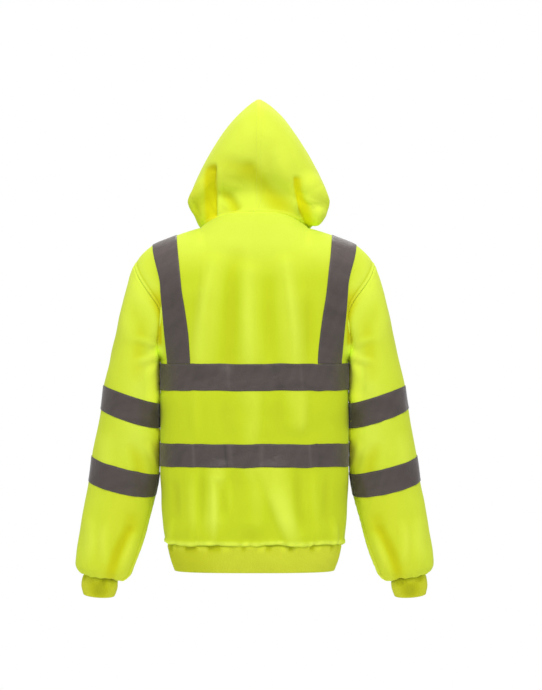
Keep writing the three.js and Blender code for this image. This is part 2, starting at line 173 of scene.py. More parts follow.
# %% [markdown]
# ## The garment's form
# These are the sizes of the real garment: the levels of the body, the shoulder line, the sections
# of a sleeve and a cuff, and the arches of the hood. They are the same as in its CAD model, apart
# from the lowest sleeve sections and the cuffs, whose edges are up to 4 mm further out here. +X is
# the wearer's left, the front faces -Y, and the origin is in the neck opening.

# %% Sizes of the cloth and of the body
CLOTH = 2.2
WALL = (-CLOTH / 2, CLOTH / 2)
RIB = 2.6
TAPE = 1.0
TAPE_LIFT = 0.25
UNDERARM = -279
HEM_SEAM = -648
HEM_END = -700
CHEST = (-287, -340)
WAIST = (-445, -491)
BOXINESS = 2.8

BODY_LEVELS = table(
    "z side back front",
    (UNDERARM, 187, 126, 131),
    (-340, 187, 125, 133),
    (-470, 187, 121, 131),
    (-560, 185, 119, 129),
    (-610, 181, 118, 127),
    (-636, 177.5, 116, 125),
    (HEM_SEAM, 173.5, 111, 120),
    (-668, 168, 108, 117),
    (-684, 163.5, 105, 113),
    (HEM_END, 158, 100, 108),
)
NECK_COLUMNS = 4
BRACE_COLUMNS = (6, 8)
COLUMNS = table(
    "column turn shoulder back_fall front_fall",
    (0, 0, 5, 1.2, 1.5),
    (1, 12, 30, 1.18, 1.5),
    (2, 23, 55, 1.06, 1.5),
    (3, 34, 80, 0.86, 1.5),
    (4, 43, 105, 0.65, 1.4),
    (5, 47.5, 130, 0.63, 1.28),
    (6, 50, 156, 0.66, 1.1),
    (7, 58.5, 178, 0.7, 1.04),
    (8, 66, 200, 0.76, 1.0),
    (9, 74.5, 217, 0.82, 0.98),
    (10, 82.5, 230, 0.85, 0.99),
    (11, 90, 239, 0.85, 1.0),
)
LAST_COLUMN = 11
SHOULDER = table(
    "x y z",
    (105, -16, -16),
    (140, -11, -26.5),
    (178, -6, -40.5),
    (200, -3, -50),
    (217, -2, -63),
    (230, -1, -77),
    (239, 0, -92),
)
NECK = {
    "half_width": 105,
    "back": 72,
    "front": -105,
    "back_z": 13,
    "side_z": -16,
    "front_z": -85,
    "dip": 16,
}
YOKE_FULLNESS = {True: 9, False: -6}

# %% Sizes of the sleeve, the cuff and the hood
SECTION = "row outer_x outer_z inner_x inner_z y depth drop drawn"
SLEEVE = table(
    SECTION,
    (0, 239, -92, 187, UNDERARM, 0, 74, 0, 28),
    (1, 251, -122, 191.3, -288, 0, 76, 0, 18),
    (2, 265, -177, 191.6, -302, -1, 78, 1, 8),
    (3, 283, -257, 191.8, -331, -2, 79, 3, 2),
    (4, 299, -329, 191.8, -366, -4, 77, 2, 0),
    (5, 306, -378, 191.8, -416, -6, 74, 7, 0),
    (6, 315, -425, 191.8, -461, -9, 70, 6, 0),
    (7, 324, -471, 192, -506, -13, 66, 7, 0),
    (8, 331, -523, 200, -552, -18, 61, 11, 0),
    (9, 341, -571, 212, -600, -23, 57, 10, 0),
    (10, 349.5, -622, 226, -650, -29, 54, 8, 0),
    (11, 357, -668, 242, -692, -34, 51, 6, 0),
    (12, 358, -694, 251, -712, -37, 45, 4, 0),
    (13, 343, -708, 269, -722, -38, 27, 3, 0),
)
SECTION_FLATNESS = 0.8
SLEEVE_BANDS = {"upper": (4, 5), "lower": (7, 8)}
CUFF = table(
    SECTION,
    (0, 343, -710.5, 275, -724.5, -38, 27, 3, 0),
    (1, 345, -732, 279, -742, -41, 26.5, 4, 0),
    (2, 343, -751, 283, -755, -43, 24, 4, 0),
)
HOOD_ARCHES = table(
    "arch y z wide wide_z point",
    (0.0, 72, 13, 105, -16, 2.0),
    (0.08, 61, 31, 119, 2, 2.0),
    (0.15, 56, 49, 130, 14, 2.0),
    (0.22, 64, 66, 136, 24, 2.0),
    (0.32, 88, 93, 139, 32, 1.9),
    (0.42, 103, 128, 140, 36, 1.8),
    (0.52, 105, 168, 140, 36, 1.65),
    (0.64, 84, 207, 140, 36, 1.5),
    (0.76, 36, 232, 140, 36, 1.4),
    (0.86, -18, 238, 137, 36, 1.4),
    (0.94, -70, 229, 128, 34, 1.5),
    (1.0, -112, 212, 110, 30, 1.7),
)
HOOD_LEAN = -9
HOOD_LIFT = 2.6
FRONT_LAP = 9
print(len(SLEEVE["row"]), "sections of a sleeve,", len(HOOD_ARCHES["arch"]), "arches of the hood")


# %% Rings, the neck edge and tubes
def body_ring(turn, z):
    """A point of the body at a height, and at an angle from the centre back round to the side.
    Its distance from the axis is ((sin / side)^n + (cos / depth)^n)^(-1/n): a rounded box."""
    level = along(BODY_LEVELS, "z", z)
    s = np.sin(np.radians(turn))
    c = np.cos(np.radians(turn))
    depth = np.where(c > 0, level["back"], level["front"])
    r = (abs(s / level["side"]) ** BOXINESS + abs(c / depth) ** BOXINESS) ** (-1 / BOXINESS)
    return np.stack(np.broadcast_arrays(r * s, r * c, z), -1)


def neck_curve(turn):
    """The neck edge at an angle from the centre back: a circle seen from above, and a wave of the
    angle and of twice the angle in height, so that back, side and front have their own heights.
    Towards each side of the back it dips, by the sine of twice the angle times the sine cubed."""
    t = np.radians(turn)
    middle = (NECK["back_z"] + NECK["front_z"]) / 2
    twist = (middle - NECK["side_z"]) / 2
    x = NECK["half_width"] * np.sin(t)
    y = mix(NECK["front"], NECK["back"], (1 + np.cos(t)) / 2)
    z = middle - twist + (NECK["back_z"] - NECK["front_z"]) / 2 * np.cos(t) + twist * np.cos(2 * t)
    return np.stack([x, y, z - NECK["dip"] * np.clip(np.sin(2 * t), 0, 1) * np.sin(t) ** 3], -1)


def tube_section(section, angle):
    """A point on a tube's section, which is an ellipse from its outer to its inner edge. Angle 0 is
    the outer edge and a quarter turn is the back. The depth goes by a power of the sine below 1,
    which flattens the back and the front. drop hangs the back lower, and drawn pulls the back and
    the front in by the sixth power of the sine."""
    c = np.cos(angle)
    s = np.sin(angle)
    x = mix(section["inner_x"], section["outer_x"], (1 + c) / 2) - section["drawn"] * s**6
    y = section["y"] + section["depth"] * np.sign(s) * abs(s) ** SECTION_FLATNESS
    z = mix(section["inner_z"], section["outer_z"], (1 + c) / 2) - section["drop"] * s
    return np.stack([x, y, z], -1)


chest = body_ring(np.linspace(-180, 180, 361), np.full(361, float(CHEST[1])))
print(f"round the chest {arc_length(chest, 0)[-1]:.0f} mm")


# %% The form of a body panel
def top_edge(column, is_back):
    """Where a column of a body panel meets the neck edge or the shoulder seam."""
    turn = np.clip(column, 0, NECK_COLUMNS) * 90 / NECK_COLUMNS
    neck = neck_curve(turn if is_back else 180 - turn)
    x = along(COLUMNS, "column", np.maximum(column, NECK_COLUMNS))["shoulder"]
    seam = along(SHOULDER, "x", x)
    seam = np.stack([seam["x"], seam["y"], seam["z"]], -1)
    return np.where((column <= NECK_COLUMNS)[..., None], neck, seam)


def yoke(column, w, is_back):
    """The part of a panel above the underarm, from w = 0 at the underarm to 1 at the top edge.
    Depth falls by a power of a cosine and height rises by the same power of a sine, as over a
    rounded shoulder, and near the armhole the points lean towards the armhole's own curve."""
    found = along(COLUMNS, "column", column)
    power = found["back_fall" if is_back else "front_fall"]
    angle = math.pi / 2 * w**1.1

    def rise(low, high, power):
        """Points on a quarter wave from low to high."""
        x = mix(low[..., 0], high[..., 0], np.sin(angle) ** power)
        y = mix(high[..., 1], low[..., 1], np.cos(angle) ** power)
        z = mix(low[..., 2], high[..., 2], np.sin(angle) ** power)
        return np.stack([x, y, z], -1)

    turn = found["turn"]
    low = body_ring(turn if is_back else 180 - turn, UNDERARM)
    points = rise(low, top_edge(column, is_back), power)
    last = np.full_like(column, LAST_COLUMN)
    side = body_ring(np.full_like(column, 90.0), UNDERARM)
    edge_power = along(COLUMNS, "column", last)["back_fall" if is_back else "front_fall"]
    edge = rise(side, top_edge(last, is_back), edge_power)
    head = {name: values[0] for name, values in SLEEVE.items()}
    armhole = tube_section(head, (1 if is_back else -1) * math.pi * (1 - w))
    near = smooth((turn / 90 - 0.62) / 0.38)[..., None]
    points = points + (armhole - edge) * near
    full = YOKE_FULLNESS[is_back] * np.sin(math.pi * w) ** 1.5 * np.sin(math.pi * turn / 90)
    points[..., 1] += full * (1 - near[..., 0])
    return points


def panel_form(column, fall, is_back):
    """A body panel before it is folded. Columns run from -11 at the right side to 11 at the left,
    and fall is 0 at the top edge, 1 at the underarm and 2 at the hem seam."""
    size = abs(column)
    w = np.clip(1 - fall, 0, 1)
    upper = yoke(size, w, is_back)
    turn = along(COLUMNS, "column", size)["turn"]
    z = mix(UNDERARM, HEM_SEAM, np.clip(fall - 1, 0, 1))
    lower = body_ring(turn if is_back else 180 - turn, z)
    points = np.where((fall < 1)[..., None], upper, lower)
    points[..., 0] *= np.sign(column)
    return points


def fall_of(z):
    """The fall of a level below the underarm."""
    return 1 + (z - UNDERARM) / (HEM_SEAM - UNDERARM)


middle_back = panel_form(np.zeros(200), np.linspace(0, 2, 200), True)
print(f"down the middle of the back {arc_length(middle_back, 0)[-1]:.0f} mm, without the hem")


# %% The hood's form
TINY = 1e-12  # added to or put in place of a divisor that may be nought


def hood_form(arch, across):
    """The left half of the hood. arch runs from the neck edge (0) to the face edge (1), and across
    runs up each arch from the neck seam (0) to the centre seam (1). Each arch widens by an S-curve
    up to its widest height, and then closes towards the crown by a power of the height."""
    row = along(HOOD_ARCHES, "arch", arch)
    foot = neck_curve(90 + 90 * arch)
    foot[..., 0] = np.maximum(foot[..., 0], FRONT_LAP)
    wide_at = np.clip((row["wide_z"] - foot[..., 2]) / (row["z"] - foot[..., 2]), 0, 1)
    turn_at = wide_at / (wide_at + row["point"] * (1 - wide_at))
    low_t = np.clip(across / np.maximum(turn_at, TINY), 0, 1)
    high_t = np.clip((across - turn_at) / (1 - turn_at), 0, 1)
    r = 1 - (1 - high_t) ** row["point"]
    low = across < turn_at
    up = np.where(low, wide_at * low_t, wide_at + (1 - wide_at) * r)
    closing = row["wide"] * (1 - r**1.25) ** (1 / row["point"])
    x = np.where(low, mix(foot[..., 0], row["wide"], smooth(low_t)), closing)
    free = np.stack([x, mix(foot[..., 1], row["y"], up), mix(foot[..., 2], row["z"], up)], -1)
    neck = neck_curve(90 - 90 * across)
    return mix(neck, free, smooth(arch / 0.12)[..., None])


print("hood crown, mm:", np.round(hood_form(np.array([0.86]), np.array([1.0]))[0], 1))

# %% [markdown]
# ## Folds
# A fold is a soft ridge or trough along a curved line that lies on the piece, seen from behind or
# from the front. Its height falls off smoothly across the line, and it may fade to its ends. A
# cloth simulation could drape the garment, but its folds would fall where they liked. Placing each
# one by one puts it where the real one lies, and keeps the folds as uneven as real creases.

# %% How folds are made
FOLD = "back from_x from_z to_x to_z bow width rise lean fade"


def fold_rise(folds, points, normals):
    """The height of a set of folds at each point. For one fold: rise times an S-curve of
    (1 - distance from its line / width), times its fade along the line. bow is how far the middle
    of the line stands off the chord, and lean makes one flank wide and the other steep."""
    x, z = points[..., 0], points[..., 2]
    total = np.zeros(x.shape)
    for f in each_row(folds):
        run = np.array([f["to_x"] - f["from_x"], f["to_z"] - f["from_z"]])
        length = np.hypot(*run)
        ahead = ((x - f["from_x"]) * run[0] + (z - f["from_z"]) * run[1]) / length
        aside = ((z - f["from_z"]) * run[0] - (x - f["from_x"]) * run[1]) / length
        s = np.clip(ahead / length, 0, 1)
        aside = aside - 4 * f["bow"] * s * (1 - s)
        beyond = ahead - s * length
        flank = f["width"] * (1 + f["lean"] * np.sign(aside))
        off = np.hypot(aside / flank, beyond / f["width"])
        fade = 1 - f["fade"] * (2 * s - 1) ** 2
        way = 1 if f["back"] else -1
        total += f["rise"] * fade * smooth(1 - off) * smooth(2 * way * normals[..., 1])
    return total


def normals_of(grid, closed=False, inside=(0, 0, 0)):
    """Unit normals of a grid, as the cross product of its two directions, turned away from a point
    or a line of points inside."""
    if closed:
        across = np.roll(grid, -1, 1) - np.roll(grid, 1, 1)
    else:
        across = np.gradient(grid, axis=1)
    normals = np.cross(across, np.gradient(grid, axis=0))
    normals /= np.linalg.norm(normals, axis=-1, keepdims=True) + TINY
    way = np.sign(np.sum(normals * (grid - np.asarray(inside, float))))
    return normals * way, way


one_fold = table(FOLD, (1, 0, -10, 0, 10, 0, 8, 5, 0, 0))
spots = np.array([[0.0, 0, 0], [4, 0, 0], [8, 0, 0]])
heights = fold_rise(one_fold, spots, np.array([[0.0, 1, 0]] * 3))
print("a fold 5 mm high, at 0, 4 and 8 mm from its line:", heights)

# %% [markdown]
# ## Cloth
# A cloth is two layers of the same grid, one on each side of its middle, joined by a rounded rim
# along its open edges. A Solidify modifier could thicken a single sheet, but here the edges draw
# back a little from their neighbours and take a round rim, so both layers are made directly. A
# cloth carries a map of its own flat size in metres, so that its knit keeps one scale everywhere.


# %% How a mesh is made
def put_mesh(name, vertices, faces, uv=None):
    """A smooth mesh object from points in millimetres, its faces, and a map for its corners."""
    mesh = bpy.data.meshes.new(name)
    mesh.vertices.add(len(vertices))
    mesh.vertices.foreach_set("co", (vertices * MM).astype(np.float32).ravel())
    sides = faces.shape[1]
    mesh.loops.add(faces.size)
    mesh.loops.foreach_set("vertex_index", faces.astype(np.int32).ravel())
    mesh.polygons.add(len(faces))
    mesh.polygons.foreach_set("loop_start", np.arange(0, faces.size, sides, dtype=np.int32))
    mesh.polygons.foreach_set("use_smooth", np.ones(len(faces), bool))
    if uv is not None:
        layer = mesh.uv_layers.new(name="cloth")
        layer.data.foreach_set("uv", uv.astype(np.float32).ravel())
    mesh.update(calc_edges=True)
    mesh.validate()
    made = bpy.data.objects.new(name, mesh)
    bpy.context.collection.objects.link(made)
    return made


# %% How a cloth is made
RIM = 0.4


def shell(name, grid, wall, closed=False, inside=(0, 0, 0), normals=None, tones=None):
    """A closed wall between two distances from the grid, along its normals, wall = (inner, outer).
    Edge points draw back by under half the wall, and a middle row of points keeps the edge, so
    that the rim is round. u and v are distances along the rows and down the columns, in metres.
    tones are two fields of light and shade painted into the colour of the outer side: painted
    crease shade, 0 to 1, and painted shade where positive and painted highlight where negative, -1
    to 1."""
    found, way = normals_of(grid, closed, inside)
    n = found if normals is None else normals
    rows, cols = grid.shape[:2]
    drawn = grid.copy()
    back = RIM * (wall[1] - wall[0])
    for here, there in ((0, 1), (-1, -2)):
        step = grid[there] - grid[here]
        drawn[here] += back * step / np.linalg.norm(step, axis=-1, keepdims=True)
        if not closed:
            step = grid[:, there] - grid[:, here]
            drawn[:, here] += back * step / np.linalg.norm(step, axis=-1, keepdims=True)
    middle = grid + n * sum(wall) / 2
    layers = [drawn + n * wall[1], drawn + n * wall[0], middle]
    vertices = np.concatenate([layer.reshape(-1, 3) for layer in layers])

    looped = np.concatenate([grid, grid[:, :1]], 1) if closed else grid
    u = arc_length(looped, 1)
    u = u - u[:, [u.shape[1] // 2]]
    v = arc_length(looped, 0).mean(1, keepdims=True) + 0 * u
    uv = np.stack([u, v], -1) * MM

    quads = np.arange(rows - 1), np.arange(cols if closed else cols - 1)
    i, j = np.meshgrid(*quads, indexing="ij")
    ci = np.stack([i, i, i + 1, i + 1], -1).reshape(-1, 4)
    cj = np.stack([j, j + 1, j + 1, j], -1).reshape(-1, 4)
    top = np.stack([np.zeros(cols + closed, int), np.arange(cols + closed)], 1)
    bottom = top[::-1] + [rows - 1, 0]
    if closed:
        loops = [top, bottom]
    else:
        right = np.stack([np.arange(1, rows), np.full(rows - 1, cols - 1)], 1)
        left = np.stack([np.arange(rows - 2, -1, -1), np.zeros(rows - 1, int)], 1)
        loops = [np.concatenate([top, right, bottom[1:], left])]

    def index(layer, i, j):
        """The number of the vertex in row i and column j of a layer."""
        return layer * rows * cols + i * cols + j % cols

    faces = [index(0, ci, cj), index(1, ci, cj)[:, ::-1]]
    corners = [np.stack([ci, cj], -1), np.stack([ci, cj], -1)[:, ::-1]]
    for loop in loops:
        a, b = loop[:-1], loop[1:]
        for first, second in ((0, 2), (2, 1)):
            near = [index(first, *b.T), index(first, *a.T)]
            far = [index(second, *a.T), index(second, *b.T)]
            faces.append(np.stack(near + far, 1))
            corners.append(np.stack([b, a, a, b], 1))
    faces = np.concatenate(faces)
    corners = np.concatenate(corners)
    if way < 0:
        faces, corners = faces[:, ::-1], corners[:, ::-1]
    kept, faces = np.unique(faces, return_inverse=True)
    flat = uv[corners[..., 0], corners[..., 1]]
    made = put_mesh(name, vertices[kept], faces.reshape(-1, 4), flat)
    # The painted light and shade fields go on the outer layer and the rim only.
    for field, values in zip(("crease_shade", "shade"), tones or ()):
        layer = made.data.attributes.new(field, "FLOAT", "POINT")
        outside = np.concatenate([values, 0 * values, values]).ravel()
        layer.data.foreach_set("value", outside[kept].astype(np.float32))
    return made


# %% Seam allowances
def tuck(points, normals, tones, edge, reach, sink):
    """Adds the seam allowance that goes out of sight behind the neighbouring piece. From an edge
    row ("first" or "last"), two rows run on by reach along the cloth and sink under its normals.
    The painted light and shade fields run on unchanged."""
    first = edge == "first"
    here, there = (0, 1) if first else (-1, -2)
    run = points[here] - points[there]
    run /= np.linalg.norm(run, axis=-1, keepdims=True)
    steps = ((1, 1), (0.35, 0.7)) if first else ((0.35, 0.7), (1, 1))
    more = np.stack([points[here] + run * reach * a - normals[here] * sink * b for a, b in steps])
    same = np.stack([normals[here]] * 2)
    tones = [np.pad(tone, ((2, 0) if first else (0, 2), (0, 0)), "edge") for tone in tones]
    if first:
        return np.concatenate([more, points]), np.concatenate([same, normals]), tones
    return np.concatenate([points, more]), np.concatenate([normals, same]), tones


# %% [markdown]
# ## Finishes
# The cloth is a bright fleece: matt, with a little sheen from its nap, a fine knit that shows close
# up, and a colour that drifts slightly. Rib knit is the same yarn, its colour a shade deeper:
# partly its own, and partly painted shade that stands for the shade between its ribs.
# The tape is a grey satin film of tiny glass beads, so it is smooth, dark and a little glossy.
# Painted textures could carry these patterns, but nodes stay sharp from near and far, and read the
# cloth's own map, in metres. Light that passes from fold to fold turns the yellow deeper in
# creases, which plain colour can't show, so the cloth's points carry two fields that paint light
# and shade into its colour: a deeper yellow in creases, and shade and highlights where the light
# would fall.


# %% Node helpers
def node_maker(tree):
    """Empties a node tree, and gives back a function that adds one node to it."""
    tree.nodes.clear()

    def node(kind, inputs=None, **settings):
        """A node with its settings; an input is a plain value or another node's output."""
        made = tree.nodes.new("ShaderNode" + kind)
        for key, value in settings.items():
            setattr(made, key, value)
        for key, value in (inputs or {}).items():
            if isinstance(value, bpy.types.NodeSocket):
                tree.links.new(value, made.inputs[key])
            else:
                made.inputs[key].default_value = value
        return made

    return node


def new_material(name):
    """An empty node material and its node maker."""
    material = bpy.data.materials.new(name)
    material.use_nodes = True
    return material, node_maker(material.node_tree)


def surface(node, **inputs):
    """The main shader, joined to the output. Its inputs are named with _ for each space."""
    shader = node("BsdfPrincipled", {key.replace("_", " "): value for key, value in inputs.items()})
    node("OutputMaterial", {"Surface": shader.outputs["BSDF"]})


def linear(red, green, blue):
    """The light that a colour given in screen values, 0 to 255, stands for."""
    c = np.array([red, green, blue]) / 255
    c = np.where(c <= 0.04045, c / 12.92, ((c + 0.055) / 1.055) ** 2.4)
    return (*c.tolist(), 1.0)


# %% Fleece and rib knit
SHADE = 0.3


def cloth_material(name, light, dark, crease_shade_colour, wale):
    """A knitted cloth. Its colour drifts between two shades with soft noise, turns to a painted
    crease shade colour where the crease_shade field is 1, and is scaled by 1 less SHADE times the
    shade field, which paints shade where positive and highlights where negative, with its blue
    taken down in the painted shade. Its bump is wales (waves across the map, wale metres apart),
    courses that cut them, and a fine nap."""
    material, node = new_material(name)
    flat = node("UVMap", uv_map="cloth").outputs["UV"]
    drift = node("TexNoise", {"Vector": flat, "Scale": 14.0, "Detail": 3.0, "Roughness": 0.6})
    nap = node("TexNoise", {"Vector": flat, "Scale": 420.0, "Detail": 2.0, "Roughness": 0.6})
    share = node("Math", {0: drift.outputs["Fac"], 1: nap.outputs["Fac"]}, operation="ADD")
    shade = node("MapRange", {"Value": share.outputs[0], "From Min": 0.75, "From Max": 1.25})
    colour = node("Mix", {"Factor": shade.outputs[0], "A": dark, "B": light}, data_type="RGBA")
    # The crease_shade field paints a deeper yellow into creases as shade; the shade field paints
    # shade and highlights.
    crease_shade = node("Attribute", attribute_name="crease_shade").outputs["Fac"]
    shades = {"A": colour.outputs["Result"], "B": crease_shade_colour}
    warm = node("Mix", {"Factor": crease_shade, **shades}, data_type="RGBA")
    dim = node("Attribute", attribute_name="shade").outputs["Fac"]
    ends = {"To Min": 1 + SHADE, "To Max": 1 - SHADE}
    level = node("MapRange", {"Value": dim, "From Min": -1.0, **ends}).outputs[0]
    toned = node("VectorMath", {0: warm.outputs["Result"], "Scale": level}, operation="SCALE")
    # Painted shade also takes the blue down.
    pure = node("VectorMath", {0: toned.outputs[0], 1: (1, 1, 0.3)}, operation="MULTIPLY")
    depth = node("Math", {0: dim, 1: 1.8}, operation="MULTIPLY", use_clamp=True).outputs[0]
    both = {"A": toned.outputs[0], "B": pure.outputs[0]}
    rich = node("Mix", {"Factor": depth, **both}, data_type="RGBA")
    yarn = {"Vector": flat, "Distortion": 0.4}
    wales = node("TexWave", {**yarn, "Scale": 0.314 / wale / 2, "Detail": 1.0}, bands_direction="X")
    courses = node("TexWave", {**yarn, "Scale": 0.314 / wale / 1.5}, bands_direction="Y")
    knit = node("Math", {0: wales.outputs["Fac"], 1: courses.outputs["Fac"]}, operation="MULTIPLY")
    height = node("Math", {0: knit.outputs[0], 1: nap.outputs["Fac"]}, operation="ADD")
    relief = node("Bump", {"Height": height.outputs[0], "Strength": 0.25, "Distance": 0.0004})
    surface(
        node,
        Base_Color=rich.outputs["Result"],
        Normal=relief.outputs["Normal"],
        Roughness=0.85,
        Specular_IOR_Level=0.25,
        Sheen_Weight=0.12,
        Sheen_Roughness=0.4,
        Sheen_Tint=linear(255, 255, 190),
    )
    return material


# Light and dark are the fleece's own colour, drifting at random; the third is the colour painted
# into creases as shade.
FLEECE_SHADES = [linear(234, 253, 80), linear(229, 249, 72), linear(238, 237, 16)]
FLEECE = cloth_material("fluorescent fleece", *FLEECE_SHADES, wale=0.0011)
# The rib and cuff knits are a shade deeper than the fleece, partly their own colour and partly
# painted shade; the third of each is their colour of painted crease shade.
RIB_SHADES = [linear(224, 233, 58), linear(214, 224, 52), linear(214, 212, 30)]
RIB_KNIT = cloth_material("fluorescent rib knit", *RIB_SHADES, wale=0.0009)
CUFF_SHADES = [linear(224, 230, 56), linear(214, 220, 48), linear(190, 190, 28)]
CUFF_KNIT = cloth_material("fluorescent cuff knit", *CUFF_SHADES, wale=0.0009)
print("fleece, linear:", np.round(FLEECE_SHADES[0][:3], 2).tolist())

# %% Reflective tape
TAPE_SHADE = 0.8


def tape_material():
    """Grey reflective tape: a satin film whose beads give it a fine grain, with faint smudges and
    crumples. Its colour is scaled by 1 less TAPE_SHADE times the shade field, which paints shade
    where positive and highlights where negative."""
    material, node = new_material("reflective tape")
    flat = node("UVMap", uv_map="cloth").outputs["UV"]
    grain = node("TexVoronoi", {"Vector": flat, "Scale": 2200.0})
    smudge = node("TexNoise", {"Vector": flat, "Scale": 22.0, "Detail": 4.0, "Roughness": 0.6})
    share = node("Math", {0: smudge.outputs["Fac"], 1: 0.5}, operation="ADD")
    shades = {"A": linear(73, 64, 62), "B": linear(86, 77, 74)}
    colour = node("Mix", {"Factor": share.outputs[0], **shades}, data_type="RGBA")
    dim = node("Attribute", attribute_name="shade").outputs["Fac"]
    ends = {"To Min": 1 + TAPE_SHADE, "To Max": 1 - TAPE_SHADE}
    level = node("MapRange", {"Value": dim, "From Min": -1.0, **ends}).outputs[0]
    toned = node("VectorMath", {0: colour.outputs["Result"], "Scale": level}, operation="SCALE")
    bead = {"Height": grain.outputs["Distance"], "Strength": 0.15, "Distance": 0.0002}
    beads = node("Bump", bead)
    uneven = {"Vector": flat, "Scale": 55.0, "Detail": 4.0, "Roughness": 0.65, "Distortion": 0.6}
    creases = node("TexNoise", uneven)
    heights = {"Height": creases.outputs["Fac"], "Normal": beads.outputs["Normal"]}
    relief = node("Bump", {**heights, "Strength": 0.5, "Distance": 0.004})
    roughness = node("MapRange", {"Value": smudge.outputs["Fac"], "To Min": 0.42, "To Max": 0.56})
    surface(
        node,
        Base_Color=toned.outputs[0],
        Normal=relief.outputs["Normal"],
        Roughness=roughness.outputs[0],
        Specular_IOR_Level=0.4,
        Sheen_Weight=0.25,
        Sheen_Roughness=0.35,
    )
    return material


REFLECTIVE = tape_material()
print(len(REFLECTIVE.node_tree.nodes), "nodes in the tape's material")


# %% Thread
def thread_material(name, colour):
    """Sewing thread: two plies twisted round each other, as slanted bands along the piece."""
    material, node = new_material(name)
    plies = {"Vector": node("TexCoord").outputs["Object"], "Scale": 260.0, "Distortion": 1.0}
    twist = node("TexWave", plies, bands_direction="DIAGONAL")
    darker = (*(0.8 * c for c in colour[:3]), 1.0)
    shades = {"A": colour, "B": darker}
    shade = node("Mix", {"Factor": twist.outputs["Fac"], **shades}, data_type="RGBA")
    surface(node, Base_Color=shade.outputs["Result"], Roughness=0.55, Sheen_Weight=0.2)
    return material


YELLOW_THREAD = thread_material("yellow thread", linear(240, 252, 84))
GREY_THREAD = thread_material("grey thread", linear(112, 106, 102))
print(len(bpy.data.materials), "materials")


# %% [markdown]
# ## Stitches
# Every seam shows the thread that holds it: a row of short stitches, each a small grain that lies
# in the cloth. An Array modifier along a curve could repeat one, but wouldn't turn each to lie on
# the cloth. Here a row follows an edge of a piece's grid at a distance, and all its grains are made
# at once from one pattern and the cloth's own normals.

# %% How a row of stitches is made
PITCH = 3.2
STITCH = {"length": 2.3, "width": 0.34, "height": 0.26}
GRAIN_SIDES = 6
GRAIN_POINTS = 2 * GRAIN_SIDES + 2
RING_AT = 0.3


def inset(points, normals, distance):
    """The line at a distance in from the first row of a grid, walked down each of its columns."""
    s = arc_length(points, 0)
    k = np.clip((s < distance).sum(0) - 1, 0, len(s) - 2)
    c = np.arange(s.shape[1])
    t = ((distance - s[k, c]) / (s[k + 1, c] - s[k, c]))[:, None]
    return mix(points[k, c], points[k + 1, c], t), mix(normals[k, c], normals[k + 1, c], t)


def last_row(points, normals):
    """The same grid, with its last row first."""
    return points[::-1], normals[::-1]


def last_column(points, normals):
    """The same grid, with its last column as its first row."""
    return np.swapaxes(points[:, ::-1], 0, 1), np.swapaxes(normals[:, ::-1], 0, 1)


def first_column(points, normals):
    """The same grid, with its first column as its first row."""
    return np.swapaxes(points, 0, 1), np.swapaxes(normals, 0, 1)


def spots_on(line, s, at):
    """The points of a line at given distances along it, where s is the distance of each point."""
    return np.stack([np.interp(at, s, line[:, k]) for k in range(3)], -1)


def grain_shape():
    """The points and faces of one grain, which lies along X: two rings of points between two tips,
    scaled by the length, width and height of a stitch."""
    i = np.arange(GRAIN_SIDES)
    a = i * 2 * math.pi / GRAIN_SIDES
    ring = np.stack([0 * a, np.cos(a) / 2, np.sin(a) / 2], -1)
    rings = [ring - [RING_AT, 0, 0], ring + [RING_AT, 0, 0]]
    points = np.concatenate([[[-0.5, 0, 0]], *rings, [[0.5, 0, 0]]])
    points = points * [STITCH["length"], 2 * STITCH["width"], 2 * STITCH["height"]]
    j = (i + 1) % GRAIN_SIDES
    a, b, c, d = i + 1, j + 1, i + 1 + GRAIN_SIDES, j + 1 + GRAIN_SIDES
    tips = [np.stack([0 * i, b, a], 1), np.stack([0 * i + GRAIN_POINTS - 1, c, d], 1)]
    walls = [np.stack([a, b, d], 1), np.stack([a, d, c], 1)]
    return points, np.concatenate(tips + walls)


# %% How a row is sewn
def sew(name, lines, lift, thread, closed=False):
    """One mesh of grains, a pitch apart along each line and lift above it. Each grain lies along
    the line: its points are the line's, plus its own three numbers times the line's way ahead, the
    way across and the cloth's normal."""
    centres, ahead, up = [], [], []
    for points, normals in lines:
        if closed:
            points, normals = (np.concatenate([a, a[:1]]) for a in (points, normals))
        s = arc_length(points, 0)
        at = np.arange(PITCH / 2, s[-1], PITCH)
        behind, here, beyond = (spots_on(points, s, at + step) for step in (-1, 0, 1))
        centres.append(here)
        ahead.append(beyond - behind)
        up.append(spots_on(normals, s, at))
    centre, t, n = (np.concatenate(parts) for parts in (centres, ahead, up))
    t = t / np.linalg.norm(t, axis=1, keepdims=True)
    side = np.cross(n, t)
    side /= np.linalg.norm(side, axis=1, keepdims=True)
    n = np.cross(t, side)
    grain, faces = grain_shape()
    grain = grain[None, :, :, None]
    vertices = centre[:, None] + n[:, None] * lift + grain[:, :, 0] * t[:, None]
    vertices = vertices + grain[:, :, 1] * side[:, None] + grain[:, :, 2] * n[:, None]
    faces = (faces[None] + GRAIN_POINTS * np.arange(len(centre))[:, None, None]).reshape(-1, 3)
    made = put_mesh(name, vertices.reshape(-1, 3), faces)
    made.data.materials.append(thread)
    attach(made, "root")
    print(f"{name}: {len(centre)} stitches")
    return made


# %% [markdown]
# ## What every piece needs
# A piece rides on the garment's only body and takes the place of its CAD node, which is hidden. The
# area of its cloth is printed beside the size it was cut to.


# %% Finish a piece
def area_of(piece):
    """Half of the piece's whole surface, in square metres: the area of the cloth it is made of."""
    areas = np.zeros(len(piece.data.polygons))
    piece.data.polygons.foreach_get("area", areas)
    return areas.sum() / 2


